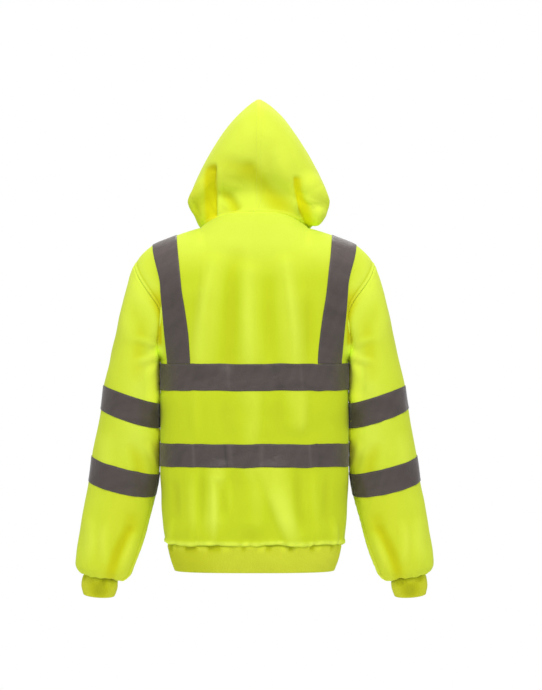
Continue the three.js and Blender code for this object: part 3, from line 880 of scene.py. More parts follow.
def finish_cloth(piece, node, slot, material, flat, held, area=None, rests_on=(), sewn=()):
    """Gives a piece its finish, puts it on the body, hides its CAD node and prints its sizes."""
    piece.data.materials.append(material)
    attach(piece, "root")
    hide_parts(node)
    cloth = area_of(piece)
    cut = area or flat[0] * flat[1]
    triangles = 2 * len(piece.data.polygons)
    print(f"{piece.name}: {triangles} triangles, {cloth:.3f} m2 of cloth, cut {cut:.3f} m2")


# %% [markdown]
# ## Body panels
# The back and the front are cut alike and sewn at the shoulders and sides. They hang from the
# shoulders in long, soft, uneven folds, and are gathered a little where the rib hem pulls them in.
# One mesh could hold both, but a maker cuts them apart, and so each has its own edges and stitches.

# %% Folds of the body
BODY_FOLDS = table(
    FOLD,
    (1, 78, -95, 104, -290, 0, 34, 6.5, 0, 0),
    (1, 36, -80, 50, -280, 0, 30, -4.2, 0, 0),
    (1, 12, -110, 4, -600, 0, 36, 6.5, 0, 0),
    (1, -62, -95, -86, -400, 0, 34, 6.5, 0, 0),
    (1, -50, -500, -76, -640, 0, 34, 6.5, 0, 0),
    (1, 72, -500, 84, -640, 0, 32, 6.5, 0, 0),
    (0, 70, -120, 88, -420, 0, 36, 6.5, 0, 0),
    (0, -66, -130, -92, -400, 0, 36, 6.5, 0, 0),
    (0, 10, -200, -8, -600, 0, 40, 5.2, 0, 0),
    (0, 92, -500, 70, -640, 0, 34, 6.5, 0, 0),
    (0, -84, -500, -72, -640, 0, 34, 6.5, 0, 0),
)
BODY_CREASES = table(
    FOLD,
    (1, 80, -84, 112, -284, 5, 18, 4.6, 0.2, 0.7),
    (1, 44, -104, 52, -284, -3, 24, -3.2, 0, 0.7),
    (1, 14, -112, 6, -284, 2, 24, 4.4, 0, 0.7),
    (1, -28, -124, -34, -284, 2, 20, -4.4, 0, 0.7),
    (1, -60, -88, -82, -284, -3, 16, 5.2, -0.3, 0.6),
    (1, -108, -160, -114, -284, 0, 18, -4.4, 0, 0.7),
    (1, 115, -345, 112, -440, 2, 17, 3.2, 0, 0.8),
    (1, 58, -345, 50, -440, 2, 22, -2.4, 0, 0.8),
    (1, -5, -345, 2, -440, -2, 18, 3.0, 0, 0.8),
    (1, -48, -345, -52, -440, 2, 22, -2.6, 0, 0.8),
    (1, -97, -345, -92, -440, 2, 17, 3.2, 0, 0.8),
    (1, 121, -500, 118, -620, 2, 19, 4.6, 0, 0.7),
    (1, 103, -500, 104, -610, 0, 13, -3.4, 0, 0.8),
    (1, 81, -510, 79, -642, -3, 11, 4.8, 0.2, 0.6),
    (1, 64, -530, 60, -592, 0, 12, -4.6, 0, 0.8),
    (1, 52, -512, 47, -590, -3, 9, 2.8, 0, 0.9),
    (1, 78, -512, 56, -508, 2, 12, 2.6, 0, 0.9),
    (1, 18, -510, 6, -640, 0, 30, -5.0, 0, 0.6),
    (1, -20, -498, -71, -632, 4, 26, 7.4, -0.3, 0.4),
    (1, -84, -506, -94, -612, 3, 16, -5.4, 0, 0.7),
    (1, -114, -498, -124, -632, 0, 14, 3.0, 0, 0.7),
    (1, -143, -500, -141, -600, 0, 14, -3.0, 0, 0.9),
    (1, 157, -515, 153, -600, 0, 14, -3.4, 0, 0.9),
    (1, 163, -602, 167, -648, 0, 11, 3.6, 0, 0.5),
    (1, -156, -598, -160, -648, 0, 11, 3.6, 0, 0.5),
    (0, 96, -110, 84, -260, 4, 18, 4.1, 0, 1),
    (0, -60, -125, -90, -270, -4, 16, 4.1, 0, 1),
    (0, 20, -180, 34, -280, 0, 16, -3.4, 0, 1),
    (0, -22, -170, -26, -284, 0, 15, 3.4, 0, 1),
    (0, 60, -345, 74, -440, 2, 15, 3.1, 0, 1),
    (0, -44, -345, -48, -440, 0, 15, 2.7, 0, 1),
    (0, 104, -500, 88, -632, 4, 15, 5.1, 0.2, 0.9),
    (0, 30, -505, 18, -640, 0, 15, 4.1, 0, 0.9),
    (0, 58, -530, 56, -610, 0, 14, -4.4, 0, 1),
    (0, -62, -500, -84, -640, -4, 14, 5.1, 0, 0.9),
    (0, -30, -560, -34, -640, 0, 14, -4.1, 0, 0.8),
    (0, -130, -505, -138, -600, 0, 13, 3.7, 0, 1),
)
print(len(BODY_FOLDS["back"]), "folds and", len(BODY_CREASES["back"]), "creases on the body")

# %% How strong the small shapes are
HEM_FADE = 50
PUCKER_DEPTH = 1.3
BAND_PUCKER = 0.45
PUCKER_FADE = 9
COLUMN_WIDTH = 17.0
PANEL_SWELL = (0.9, 70, 3)
HEM_WELT = {"height": 3.0, "at": 6.5, "width": 10, "wave": 16, "groove": 2.2}
HEM_GATHER = {"wave": 22, "fade": 24}
HEM_SAG = {"drop": 1.6, "wave": 60, "fade": 16}
YOKE_SEAM = (8.0, 1.8, 0.5)
# Where a highlight is painted under the arm at the back.
UNDERARM_HIGHLIGHT = {"x": 191, "z": -262, "width": 24}


# %% What seams do to the cloth
def body_rise(points, normals):
    """How far the body's cloth is lifted: the folds, which die out towards the hem seam, the small
    creases and a soft swell."""
    above_hem = points[..., 2] - HEM_SEAM
    folds = fold_rise(BODY_FOLDS, points, normals) * np.clip(above_hem / HEM_FADE, 0, 1)
    creases = fold_rise(BODY_CREASES, points, normals)
    height, wave, seed = PANEL_SWELL
    return folds + creases + height * undulation(points, wave, seed)


def seam_rise(distance, welt, height, groove):
    """The profile of a topstitched seam at a distance from it: a groove at the seam itself, and a
    welt of folded edges beside it that ends in the stitched line."""
    ridge = height * bell(distance - 0.55 * welt, welt)
    return ridge - groove * bell(distance, 4.0) - 0.35 * bell(distance - welt, 3.0)


def puckers(off, wave):
    """The puckers beside a sewn band, at a distance off from its edge: a wave that dies out by e to
    the power of minus (off / fade), and none under the band."""
    return BAND_PUCKER * wave * np.exp(-np.clip(off, 0, None) / PUCKER_FADE) * (off > 0)


def highlight_mask_underarm(points):
    """1 where the seams meet under the arm, at the back, falling off like a bell: there the real
    cloth puckers outward and catches the light, and a highlight is painted in its place."""
    off = np.hypot(abs(points[..., 0]) - UNDERARM_HIGHLIGHT["x"], points[..., 2] - UNDERARM_HIGHLIGHT["z"])
    return bell(off, UNDERARM_HIGHLIGHT["width"]) * (points[..., 1] > 0)


def painted_recess_shade(points):
    """1 in the narrow strip between the brace and the sleeve at the back, which lies in a fold;
    there shade is painted.
    """
    x, z = abs(points[..., 0]), points[..., 2]
    below_shoulder = smooth((x - 181) / 4) * smooth((-130 - z) / 40)
    return below_shoulder * smooth((z + 257) / 14) * (points[..., 1] > 0)


# %% A panel's seams, colour fields and whole
def sewn_relief(relief, size, z, along_hem, to_edge, in_yoke, is_back):
    """The relief of a panel with its seams. Above the hem seam stands an uneven welt, puckers that
    die out upwards, and a groove; beside each band are puckers; the armhole has a topstitched
    seam in the yoke, and the side seam below it a groove."""
    rise = relief.copy()
    above_hem = z - HEM_SEAM
    welt = HEM_WELT["height"] * bell(above_hem - HEM_WELT["at"], HEM_WELT["width"])
    rise += welt * (1 + 0.4 * ripple(along_hem, HEM_WELT["wave"], 5 + is_back))
    wave = PUCKER_DEPTH * ripple(along_hem, HEM_GATHER["wave"], 7 + is_back)
    rise += wave * np.exp(-above_hem / HEM_GATHER["fade"])
    rise -= HEM_WELT["groove"] * bell(above_hem, 6)
    for band in (CHEST, WAIST):
        for level, way in zip(band, (1, -1)):
            rise += puckers(way * (z - level), ripple(along_hem, 15, int(-level)))
    rise += seam_rise(to_edge, *YOKE_SEAM) * in_yoke * smooth((size - 8) / 2)
    rise -= 1.2 * bell(to_edge, 5) * (1 - in_yoke)
    return rise


def panel_tones(points, relief, size, z, along_hem, to_edge, in_yoke):
    """The two painted light fields of a panel. Painted crease shade lies by the side seam, in the
    strip beside the brace and a little in troughs. Painted shade lies in its troughs, less so high
    on the shoulders, and by the side seam. Painted highlights lie on the ridges of the armhole seam
    and of the hem's welt, along the neck edge, at the top of the shoulder and where the seams meet
    under the arm."""
    crease_shade = bell(to_edge, 34) * smooth((-130 - z) / 70) * smooth((z + 470) / 60)
    crease_shade = np.clip(crease_shade + 0.2 * np.clip(-relief / 6, 0, 1), 0, 1)
    # Painted shade over the panel below the shoulders, more in troughs and lower down.
    depth = 0.5 + 0.15 * smooth((-300 - z) / 100) - relief * (0.04 + 0.02 * smooth((-450 - z) / 40))
    shade = np.clip(depth, -0.1, 1) * smooth((-40 - z) / 90)
    shade *= 1 - in_yoke * (1 - smooth(to_edge / 70))
    # A painted highlight on the ridge of the armhole seam, with painted shade beside it.
    seam_light_and_shade = bell(to_edge - 5, 3.5) - 0.5 * bell(to_edge - 10, 4) - 0.8 * bell(to_edge, 3)
    shade -= 0.9 * seam_light_and_shade * in_yoke * smooth((size - 8) / 2) * smooth((z + 205) / 50)
    # Painted shade by the side seam under the armhole.
    shade += 0.7 * bell(to_edge, 30) * smooth((-150 - z) / 50) * smooth((z + 262) / 30)
    # Painted highlights on the hem's welt, along the neck edge and at the top of the shoulder.
    shade -= (1.2 + 0.5 * ripple(along_hem, 18, 3)) * bell(z - HEM_SEAM - 6, 7.5)
    shade -= 0.5 * bell(arc_length(points, 0), 9) * smooth((NECK_COLUMNS + 0.5 - size) / 0.5)
    shade -= 0.35 * bell(abs(points[..., 0]) - 106, 7) * smooth((z + 62) / 25)
    # Shade painted in the strip between the brace and the sleeve.
    crease_shade = np.maximum(crease_shade, painted_recess_shade(points))
    shade += 0.45 * painted_recess_shade(points)
    # A highlight painted where the seams meet under the arm, with no painted crease shade there.
    underarm_highlight = highlight_mask_underarm(points)
    crease_shade *= 1 - underarm_highlight
    shade -= 1.2 * underarm_highlight
    return crease_shade, np.clip(shade, -1, 1)


def panel(column, fall, is_back):
    """A body panel: its form, moved along its normals by its folds and seams, and hanging a little
    lower between the gathers of the hem. Gives its points, its normals and its colour fields."""
    points = panel_form(column, fall, is_back)
    axis = points * [0, 0, 1]
    normals, _ = normals_of(points, inside=axis)
    relief = body_rise(points, normals)
    size, z, along_hem = abs(column), points[..., 2], column * COLUMN_WIDTH
    edge = panel_form(np.full_like(column, LAST_COLUMN) * np.sign(column), fall, is_back)
    to_edge = np.linalg.norm(points - edge, axis=-1)
    in_yoke = smooth(8 * (1 - fall))
    rise = sewn_relief(relief, size, z, along_hem, to_edge, in_yoke, is_back)
    rise *= smooth(fall / 0.02)
    points = points + normals * rise[..., None]
    sag = HEM_SAG["drop"] * (1 + ripple(along_hem, HEM_SAG["wave"], 13 + is_back))
    points[..., 2] += sag * np.exp(-(z - HEM_SEAM) / HEM_SAG["fade"])
    normals, _ = normals_of(points, inside=axis)
    return points, normals, panel_tones(points, relief, size, z, along_hem, to_edge, in_yoke)


# %% The two panels
PANEL_STEP = 3.4


def panel_columns(is_back, step=PANEL_STEP):
    """Columns that lie evenly round the body at the underarm, about a step apart."""
    fine = np.linspace(-LAST_COLUMN, LAST_COLUMN, 400)
    points = panel_form(fine, np.full_like(fine, 1.0), is_back)
    count = int(arc_length(points, 0)[-1] / step) + 1
    return even(fine, points, count)


def panel_falls(bottom, is_back, column=5.0, step=PANEL_STEP):
    """Falls from the top edge that lie evenly down one column, about a step apart."""
    fine = np.linspace(0, bottom, 600)
    points = panel_form(np.full_like(fine, column), fine, is_back)
    count = int(arc_length(points, 0)[-1] / step) + 1
    return even(fine, points, count)


PANEL_CUT = (0.56, 0.80)
PANEL_CUT_AREA = 0.38
ARMHOLE_END = 0.97
ARMHOLE_ROWS = (3.0, 8.0)
HEM_ROWS = (3.5, 8.5)
for is_back, half in ((True, "back"), (False, "front")):
    columns = panel_columns(is_back)
    falls = panel_falls(2, is_back)
    points, normals, tones = panel(*np.meshgrid(columns, falls), is_back)
    axis = points * [0, 0, 1]
    cloth = shell(f"{half}_cloth", points, WALL, False, axis, normals, tones)
    upper = points[falls < ARMHOLE_END], normals[falls < ARMHOLE_END]
    low_edge = last_row(points, normals)
    sides = first_column(*upper), last_column(*upper)
    lines = [inset(*edge, distance) for edge in sides for distance in ARMHOLE_ROWS]
    lines += [inset(*low_edge, distance) for distance in HEM_ROWS]
    thread = sew(f"stitches_{half}", lines, CLOTH / 2, YELLOW_THREAD)
    cut = PANEL_CUT, "hung", PANEL_CUT_AREA
    finish_cloth(cloth, f"{half}_body", "fleece_yellow", FLEECE, *cut, sewn=[thread])

# %% [markdown]
# ## Reflective bands and braces
# Tape is sewn flat on the cloth. It could be a grey colour on the cloth, but real tape has a
# thickness and an edge, so each strip is the panel's own surface at that place, moved out. Its long
# edges are held down by a row of stitches. The film creases sharply where the cloth under it folds,
# and each crease is shown as a slanting line of painted highlight or painted shade, given one by
# one in a table as a tone.

# %% How tape is laid
TAPE_STEP = 3.0
STITCH_INSET = 3.0
TAPE_WAVER = 0.9
# The tape's shade field paints the light and shade of fine wrinkles: strength, wave, seed.
PAINTED_TAPE_WRINKLES = (0.16, 22, 29)
BAND_LENGTH = 0.50
BRACE_CUT = (0.045, 0.56)
SLEEVE_BAND_CUT = (0.045, 0.42)
# Slanting crease lines painted on the tape at the back: a positive tone paints shade, a negative
# one a highlight.
PAINTED_TAPE_CREASES = table(
    "x top bottom slant width tone",
    (120, WAIST[0], WAIST[1], 0.05, 5, -0.5),
    (58, WAIST[0], WAIST[1], 0.1, 5, 0.45),
    (48, WAIST[0], WAIST[1], 0.1, 6, -0.3),
    (-14, WAIST[0], WAIST[1], 0, 9, -0.35),
    (-108, WAIST[0], WAIST[1], 0.06, 5, -0.45),
    (-128, WAIST[0], WAIST[1], 0, 12, 0.15),
    (150, WAIST[0], WAIST[1], 0, 16, 0.15),
    (52, CHEST[0], CHEST[1], 0.05, 6, -0.3),
    (-90, CHEST[0], CHEST[1], 0.08, 5, -0.3),
    (-40, CHEST[0], CHEST[1], 0.2, 16, 0.2),
)
# How much lighter the braces are painted towards the shoulder, as a highlight.
BRACE_PAINTED_HIGHLIGHT = 0.5


def tape_tones(points):
    """The painted light fields of a strip: no painted crease shade, and a shade field painted with
    the light and shade of fine wrinkles, of a bell across each slanting crease line at the back,
    and of a highlight that grows towards the shoulder."""
    x, z = points[..., 0], points[..., 2]
    strength, wave, seed = PAINTED_TAPE_WRINKLES
    shade = strength * undulation(points, wave, seed)
    for line in each_row(PAINTED_TAPE_CREASES):
        off = x - line["x"] - line["slant"] * (z - line["top"])
        within = (z < line["top"] + 2) & (z > line["bottom"] - 2) & (points[..., 1] > 60)
        shade = shade + line["tone"] * bell(off, line["width"]) * within
    shade = shade - BRACE_PAINTED_HIGHLIGHT * smooth((z + 150) / 90)
    return 0 * shade, np.clip(shade, -1, 1)


def lay_tape(name, node, points, normals, flat, rests_on, closed=False, inside=(0, 0, 0)):
    """A strip of tape on a grid of the cloth: its wall starts a small gap above the cloth."""
    wall = (CLOTH / 2 + TAPE_LIFT, CLOTH / 2 + TAPE_LIFT + TAPE)
    strip = shell(name, points, wall, closed, inside, normals, tape_tones(points))
    edges = [(points, normals), last_row(points, normals)]
    if node.startswith("brace"):
        edges = [first_column(points, normals), last_column(points, normals)]
    lines = [inset(*edge, STITCH_INSET) for edge in edges]
    thread = sew(f"stitches_{name}", lines, wall[1], GREY_THREAD, closed)
    finish_cloth(strip, node, "reflective_tape", REFLECTIVE, flat, "laid", None, rests_on, [thread])


# %% Bands round the body
for is_back, half in ((True, "back"), (False, "front")):
    columns = panel_columns(is_back, TAPE_STEP)
    for band, (top, bottom) in (("chest", CHEST), ("waist", WAIST)):
        rows = round((top - bottom) / TAPE_STEP) + 1
        column, fall = np.meshgrid(columns, fall_of(np.linspace(top, bottom, rows)))
        waver = TAPE_WAVER * ripple(column * COLUMN_WIDTH, 70, int(-top))
        fall = fall + waver / (UNDERARM - HEM_SEAM)
        points, normals, _ = panel(column, fall, is_back)
        flat = (BAND_LENGTH, (top - bottom) * MM)
        strip = f"{band}_tape_{half}", f"tape_{band}_{half}", points, normals
        lay_tape(*strip, flat, [f"{half}_cloth"], inside=points * [0, 0, 1])

# %% Braces over the shoulders
BRACE_MIDDLE = 7.0
BRACE_ACROSS = 16
BELOW_SHOULDER = 60
for side, way in (("left", 1), ("right", -1)):
    halves = []
    for is_back in (True, False):
        falls = panel_falls(fall_of(CHEST[0]), is_back, BRACE_MIDDLE, TAPE_STEP)
        share, fall = np.meshgrid(np.linspace(0, 1, BRACE_ACROSS), falls)
        level = panel_form(np.full_like(fall, BRACE_MIDDLE), fall, is_back)[..., 2]
        inner = BRACE_COLUMNS[0] - 0.08 - 0.35 * smooth((-140 - level) / 140)
        outer = BRACE_COLUMNS[1] + 0.12 + 0.3 * bell(level + 100, 75)
        column = mix(inner, outer, share)
        halves.append(panel(way * column, fall, is_back)[:2])
    (back, back_n), (front, front_n) = halves
    ridge_n = back_n[:1] + front_n[:1]
    ridge_n /= np.linalg.norm(ridge_n, axis=-1, keepdims=True)
    points = np.concatenate([back[:0:-1], back[:1], front[1:]])
    normals = np.concatenate([back_n[:0:-1], ridge_n, front_n[1:]])
    strip = f"brace_tape_{side}", f"brace_{side}", points, normals
    below = points * [0, 0, 1] - [0, 0, BELOW_SHOULDER]
    lay_tape(*strip, BRACE_CUT, ["back_cloth", "front_cloth"], inside=below)

# %% [markdown]
# ## Sleeves
# A sleeve is a tube set into the armhole, whose seam runs down its inner side. It hangs from a
# dropped shoulder, wrinkles where the arm leaves the body and at the elbow, and blouses over the
# cuff, which gathers it. A bent cylinder would be too even, so each row is an ellipse of its own
# from a table, flattened, tilted and hung a little lower at the back.

# %% Folds of the sleeves
SLEEVE_FOLDS = table(
    FOLD,
    (1, 262, -130, 246, -250, 6, 26, 3.9, 0, 1),
    (1, 222, -190, 232, -330, 0, 24, -3.0, 0, 1),
    (1, 190, -258, 240, -236, 3, 12, 3.2, 0, 0.8),
    (1, 190, -262, 232, -284, -4, 13, 4.2, 0, 0.7),
    (1, 192, -268, 214, -318, 0, 10, 2.4, 0, 0.9),
    (1, 190, -266, 216, -262, 0, 12, 2.0, 0, 0.6),
    (1, 203, -276, 203, -376, 0, 15, 6, 0, 0.3),
    (1, 290, -420, 296, -520, 4, 24, 3.4, 0, 1),
    (1, 246, -440, 226, -540, -6, 20, -3.4, 0, 1),
    (1, 295, -598, 298, -690, 4, 16, 4.6, 0, 0.9),
    (1, 249, -622, 288, -718, 3, 18, -7.5, 0.3, 0.5),
    (1, 244, -580, 246, -634, 0, 26, -3, 0, 0.8),
    (1, 232, -622, 266, -706, 4, 14, 4.6, 0, 0.9),
    (1, 330, -590, 336, -690, -6, 20, 3.9, 0, 0.9),
    (1, 212, -440, 196, -500, 0, 10, 3.2, 0, 1),
    (0, 256, -140, 240, -260, 6, 26, 3.9, 0, 1),
    (0, 222, -190, 228, -340, 0, 22, -3.4, 0, 1),
    (0, 190, -260, 240, -252, 3, 12, 3.6, 0, 0.9),
    (0, 192, -266, 226, -304, -4, 12, 3.9, 0, 0.9),
    (0, 250, -400, 210, -430, 5, 18, -4.6, 0, 0.9),
    (0, 270, -430, 212, -462, 4, 16, 3.9, 0, 0.9),
    (0, 285, -500, 226, -520, 4, 18, -3.9, 0, 1),
    (0, 300, -590, 306, -696, 4, 18, 4.7, 0, 0.9),
    (0, 262, -600, 286, -706, 5, 18, -6.2, 0, 0.8),
    (0, 334, -590, 336, -690, -6, 20, 3.9, 0, 0.9),
)
INNER_SEAM = math.radians(163)
SLEEVE_LIFT = (1.5, 3.3)
SLEEVE_SWELL = (1.3, 60)
SLEEVE_GIRTH = 240
SLEEVE_ROW = 45
HEAD_SEAM = (6.0, 0.9, 0.4)
SLEEVE_REST = table(
    "z out",
    (-268, 0),
    (-279, 1.3),
    (-292, 1.5),
    (-304, 1.4),
    (-344, 1.8),
    (-351, 2.8),
    (-360, 2.6),
    (-367, 1.6),
    (-415, 1.2),
    (-422, 2.2),
    (-438, 1.9),
    (-445, 0.8),
    (-480, 1.2),
    (-500, 0.4),
)



# %% A sleeve's seams, colour fields and whole
def sewn_sleeve(relief, points, row, angle, off_seam, seed):
    """The relief of a sleeve with its seams: gathers and a fold above the cuff, the lengthwise seam
    with its ridge, groove and puckers, the puckers beside each band, and the seam at the head."""
    down = arc_length(points, 0)
    up = down[-1:] - down
    around = angle / (2 * math.pi) * SLEEVE_GIRTH
    rise = relief + SLEEVE_SWELL[0] * undulation(points, SLEEVE_SWELL[1], seed)
    rise += 1.6 * ripple(around, 17, seed + 1) * np.exp(-up / 30) * smooth(up / 6)
    rise += 2.0 * bell(up - 9, 12) - 1.5 * bell(up, 6)
    rise += 0.8 * bell(off_seam - 4, 4.5) - 1.4 * bell(off_seam, 3.5)
    rise += 0.8 * ripple(down, 21, seed + 2) * np.exp(-off_seam / 13)
    for first, second in SLEEVE_BANDS.values():
        for edge, way in ((first, -1), (second, 1)):
            rise += puckers(way * (row - edge) * SLEEVE_ROW, ripple(around, 14, seed + edge))
    return rise + seam_rise(down, *HEAD_SEAM)


def sleeve_tones(points, normals, relief, low, down, off_seam):
    """The two painted light fields of a sleeve. Painted crease shade lies where it rests on the
    body, beside the brace and in troughs that face back, and a little at the lower inner side.
    Painted shade lies in troughs and beside the brace, and painted highlights where the seams meet
    under the arm, on the inner side, over the shoulder and on the ridge of the lengthwise seam."""
    z = points[..., 2]
    # A highlight painted where the seams meet under the arm, with no painted crease shade there.
    underarm_highlight = highlight_mask_underarm(points)
    in_view = mix(0.15, 0.5, smooth(0.5 + 2 * normals[..., 1]))
    crease_shade = low**10 * smooth((z + 560) / 90) * (1 - underarm_highlight) + in_view * np.clip(-relief / 5, 0, 1)
    crease_shade += 0.25 * smooth(low / 0.6) * smooth((-480 - z) / 60)
    heights = smooth((-135 - z) / 60), smooth((z + 258) / 16)
    # Painted shade and crease shade beside the brace, at the back.
    brace_side_shade = bell(down, 17) * heights[0] * heights[1] * (points[..., 1] > 0)
    # Painted shade in troughs; painted highlights on the inner side, over the shoulder and on the
    # seam's ridge.
    shade = np.clip(0.26 - relief / 18, -0.3, 1) * smooth(down / 60) - underarm_highlight
    shade -= 1.1 * low**3 * smooth((-262 - z) / 30) * smooth((z + 480) / 40)
    shade += 0.6 * brace_side_shade - 0.3 * smooth((z + 190) / 80)
    shade -= 0.7 * bell(off_seam - 4, 4) - 0.3 * bell(off_seam - 9, 5)
    return np.clip(crease_shade + brace_side_shade, 0, 1), np.clip(shade, -1, 1)


def sleeve(rows, angles, way, seed):
    """A sleeve: its section at each row and angle, standing a little off the armhole at its head,
    moved along its normals by its folds and seams, pressed in where it rests on the body (by the
    sixth power of low, which is 0 on its outer edge and 1 on its inner), and mirrored by way."""
    row, angle = np.meshgrid(rows, angles, indexing="ij")
    points = tube_section(along(SLEEVE, "row", row), angle)
    low = (1 - np.cos(angle)) / 2
    points[..., 0] += mix(*SLEEVE_LIFT, low) * np.clip(1 - row, 0, 1)
    axis = points.mean(1, keepdims=True)
    normals, _ = normals_of(points, True, axis)
    relief = fold_rise(SLEEVE_FOLDS, points, normals)
    down = arc_length(points, 0)
    turn = np.angle(np.exp(1j * (angle - INNER_SEAM)))
    off_seam = abs(turn) * arc_length(points, 1)[:, -1:] / (2 * math.pi)
    rise = sewn_sleeve(relief, points, row, angle, off_seam, seed) * smooth(row / 0.25)
    points = points + normals * rise[..., None]
    points[..., 0] -= along(SLEEVE_REST, "z", points[..., 2])["out"] * low**6
    points[..., 0] *= way
    normals, _ = normals_of(points, True, axis * [way, 1, 1])
    return points, normals, sleeve_tones(points, normals, relief, low, down, off_seam)


def sleeve_rows(first, last, step=PANEL_STEP):
    """Rows that lie evenly down the sleeve's back, about a step apart."""
    fine = np.linspace(first, last, 500)
    points = tube_section(along(SLEEVE, "row", fine), np.full_like(fine, math.pi / 2))
    count = int(arc_length(points, 0)[-1] / step) + 1
    return even(fine, points, count)


# %% Both sleeves with their bands
SLEEVE_CUT = (0.47, 0.60)
SLEEVE_CUT_AREA = 0.24
SLEEVE_TUCK = (5, 2.6)
SLEEVE_AROUND = 132
around = np.arange(SLEEVE_AROUND) * -2 * math.pi / SLEEVE_AROUND
for side, way, seed in (("left", 1, 11), ("right", -1, 23)):
    points, normals, tones = sleeve(sleeve_rows(0, 13), around, way, seed)
    line = inset(*last_row(points, normals), 4)
    thread = sew(f"stitches_sleeve_{side}", [line], CLOTH / 2, YELLOW_THREAD, True)
    points, normals, tones = tuck(points, normals, tones, "first", *SLEEVE_TUCK)
    axis = points.mean(1, keepdims=True)
    cloth = shell(f"sleeve_cloth_{side}", points, WALL, True, axis, normals, tones)
    cut = SLEEVE_CUT, "hung", SLEEVE_CUT_AREA
    finish_cloth(cloth, f"sleeve_{side}", "fleece_yellow", FLEECE, *cut, sewn=[thread])
    for band, (first, second) in SLEEVE_BANDS.items():
        fine = sleeve_rows(first - 0.5, second + 0.5, TAPE_STEP)
        points, normals, _ = sleeve(fine, around, way, seed)
        keep = (fine >= first) & (fine <= second)
        points, normals = points[keep], normals[keep]
        strip = f"sleeve_tape_{band}_{side}", f"tape_sleeve_{band}_{side}", points, normals
        lay_tape(*strip, SLEEVE_BAND_CUT, [cloth], True, points.mean(1, keepdims=True))

# %% [markdown]
# ## Rib hem and cuffs
# The hem and the cuffs are doubled rib knit: upright ribs of one plain stitch each, close together,
# that stretch. A bump in the material would shade like ribs but leave the outline smooth, so the
# ribs are part of the shape here, a wave all round. They press in just under the seam, where the
# wider cloth above is gathered onto them.

# %% Ribs
POINTS_PER_RIB = 4
RIB_PITCH = 3.1
RIB_RISE = 0.35
RIB_WALL = (-RIB / 2, RIB / 2)


def ribbed(points, normals, seed):
    """Raises upright ribs on a closed grid whose columns are a whole number to the rib: a cosine
    round the piece, flattened near the seam and the lower edge, on a crown that is a sine down the
    piece, with pits where the cloth above is gathered onto it. Shade is painted in the pits and a
    highlight between them, and no crease shade."""
    columns = np.arange(points.shape[1])
    wave = np.cos(2 * math.pi * columns / POINTS_PER_RIB)
    down = arc_length(points, 0)
    total = down[-1:]
    crown = np.sin(math.pi * down / total)
    s = columns * RIB_PITCH / POINTS_PER_RIB
    rise = RIB_RISE * wave * (smooth(down / 5) * smooth((total - down) / 3))
    rise = rise + 0.8 * ripple(s, 60, seed) * crown
    gathers = 1.4 * ripple(s, 34, seed + 1)
    pits = smooth(gathers - 0.1)
    rise -= 2.6 * pits * bell(down - 3, 9) + 1.2 * bell(down, 5)
    rise += 0.9 * crown**2
    shade = (0.6 * pits - 0.4 * smooth(-gathers - 0.1)) * bell(down - 3, 13)
    return points + normals * rise[..., None], (0 * down, np.clip(shade, -1, 1))


def even_ring(section, count):
    """count angles that lie evenly round a closed curve given by a function of the angle."""
    fine = np.linspace(-math.pi, math.pi, 1500)
    ring = even(fine, section(fine), count + 1)
    return ring[:-1]


# %% The hem
HEM_GIRTH = 960
HEM_MIDDLE = -670.0
SEAM_GAP = 0.3
HEM_CUT = (0.90, 0.055)
HEM_TUCK = (5, 2.4)
count = POINTS_PER_RIB * round(HEM_GIRTH / RIB_PITCH)
turns = even_ring(lambda a: body_ring(np.degrees(a), np.full_like(a, HEM_MIDDLE)), count)
levels = np.linspace(HEM_SEAM - SEAM_GAP, HEM_END, 16)
points = body_ring(*np.meshgrid(np.degrees(turns), levels))
axis = points * [0, 0, 1]
normals, _ = normals_of(points, True, axis)
points, (crease_shade, shade) = ribbed(points, normals, 41)
# More painted shade on the back of the hem, growing towards the wearer's left.
tones = crease_shade, shade + 0.35 * smooth((points[..., 0] - 40) / 90) * (points[..., 1] > 0)
points, normals, tones = tuck(points, normals, tones, "first", *HEM_TUCK)
hem = shell("hem_rib", points, RIB_WALL, True, points * [0, 0, 1], normals, tones)
finish_cloth(hem, "hem_band", "rib_knit_yellow", RIB_KNIT, HEM_CUT, "stretched")

# %% The cuffs
CUFF_GIRTH = 170
CUFF_CUT = (0.17, 0.05)
CUFF_TUCK = (6, 2.4)
count = POINTS_PER_RIB * round(CUFF_GIRTH / RIB_PITCH)
middle = {name: np.full(1500, column[1]) for name, column in CUFF.items()}
angles = even_ring(lambda a: tube_section(middle, a), count)
for side, way, seed in (("left", 1, 51), ("right", -1, 61)):
    row, angle = np.meshgrid(np.linspace(0, 2, 14), angles, indexing="ij")
    points = tube_section(along(CUFF, "row", row), angle) * [way, 1, 1]
    axis = points.mean(1, keepdims=True)
    normals, _ = normals_of(points, True, axis)
    points, (crease_shade, shade) = ribbed(points, normals, seed)
    # Painted shade down the middle of the cuff's back, most near the middle of its height, so that
    # its edges stay lighter.
    middle_back = bell(angle - math.pi / 2, 1.1)
    tones = crease_shade, shade + 1.1 * middle_back * np.sin(math.pi * (row + 0.4) / 2.6)
    points, normals, tones = tuck(points, normals, tones, "first", *CUFF_TUCK)
    axis = points.mean(1, keepdims=True)
    cuff = shell(f"cuff_rib_{side}", points, RIB_WALL, True, axis, normals, tones)
    finish_cloth(cuff, f"cuff_{side}", "rib_knit_yellow", CUFF_KNIT, CUFF_CUT, "stretched")

# %% [markdown]
# ## Hood
# The hood is two mirrored halves sewn along a seam over the crown, filled out as by a head, and
# sewn to the neck edge. It leans a little to one side. The extra cloth at the neck folds deeply at
# each side of a smooth cone that rises from the collar, and the hollows between them lie in soft
# shadow, partly cast by the light and partly painted into the colour. The face edge is turned in
# and stitched. It could be cut from a ball, but a row of arches from the neck edge to the face edge
# gives the pointed crown, and a grid that ends on every seam.

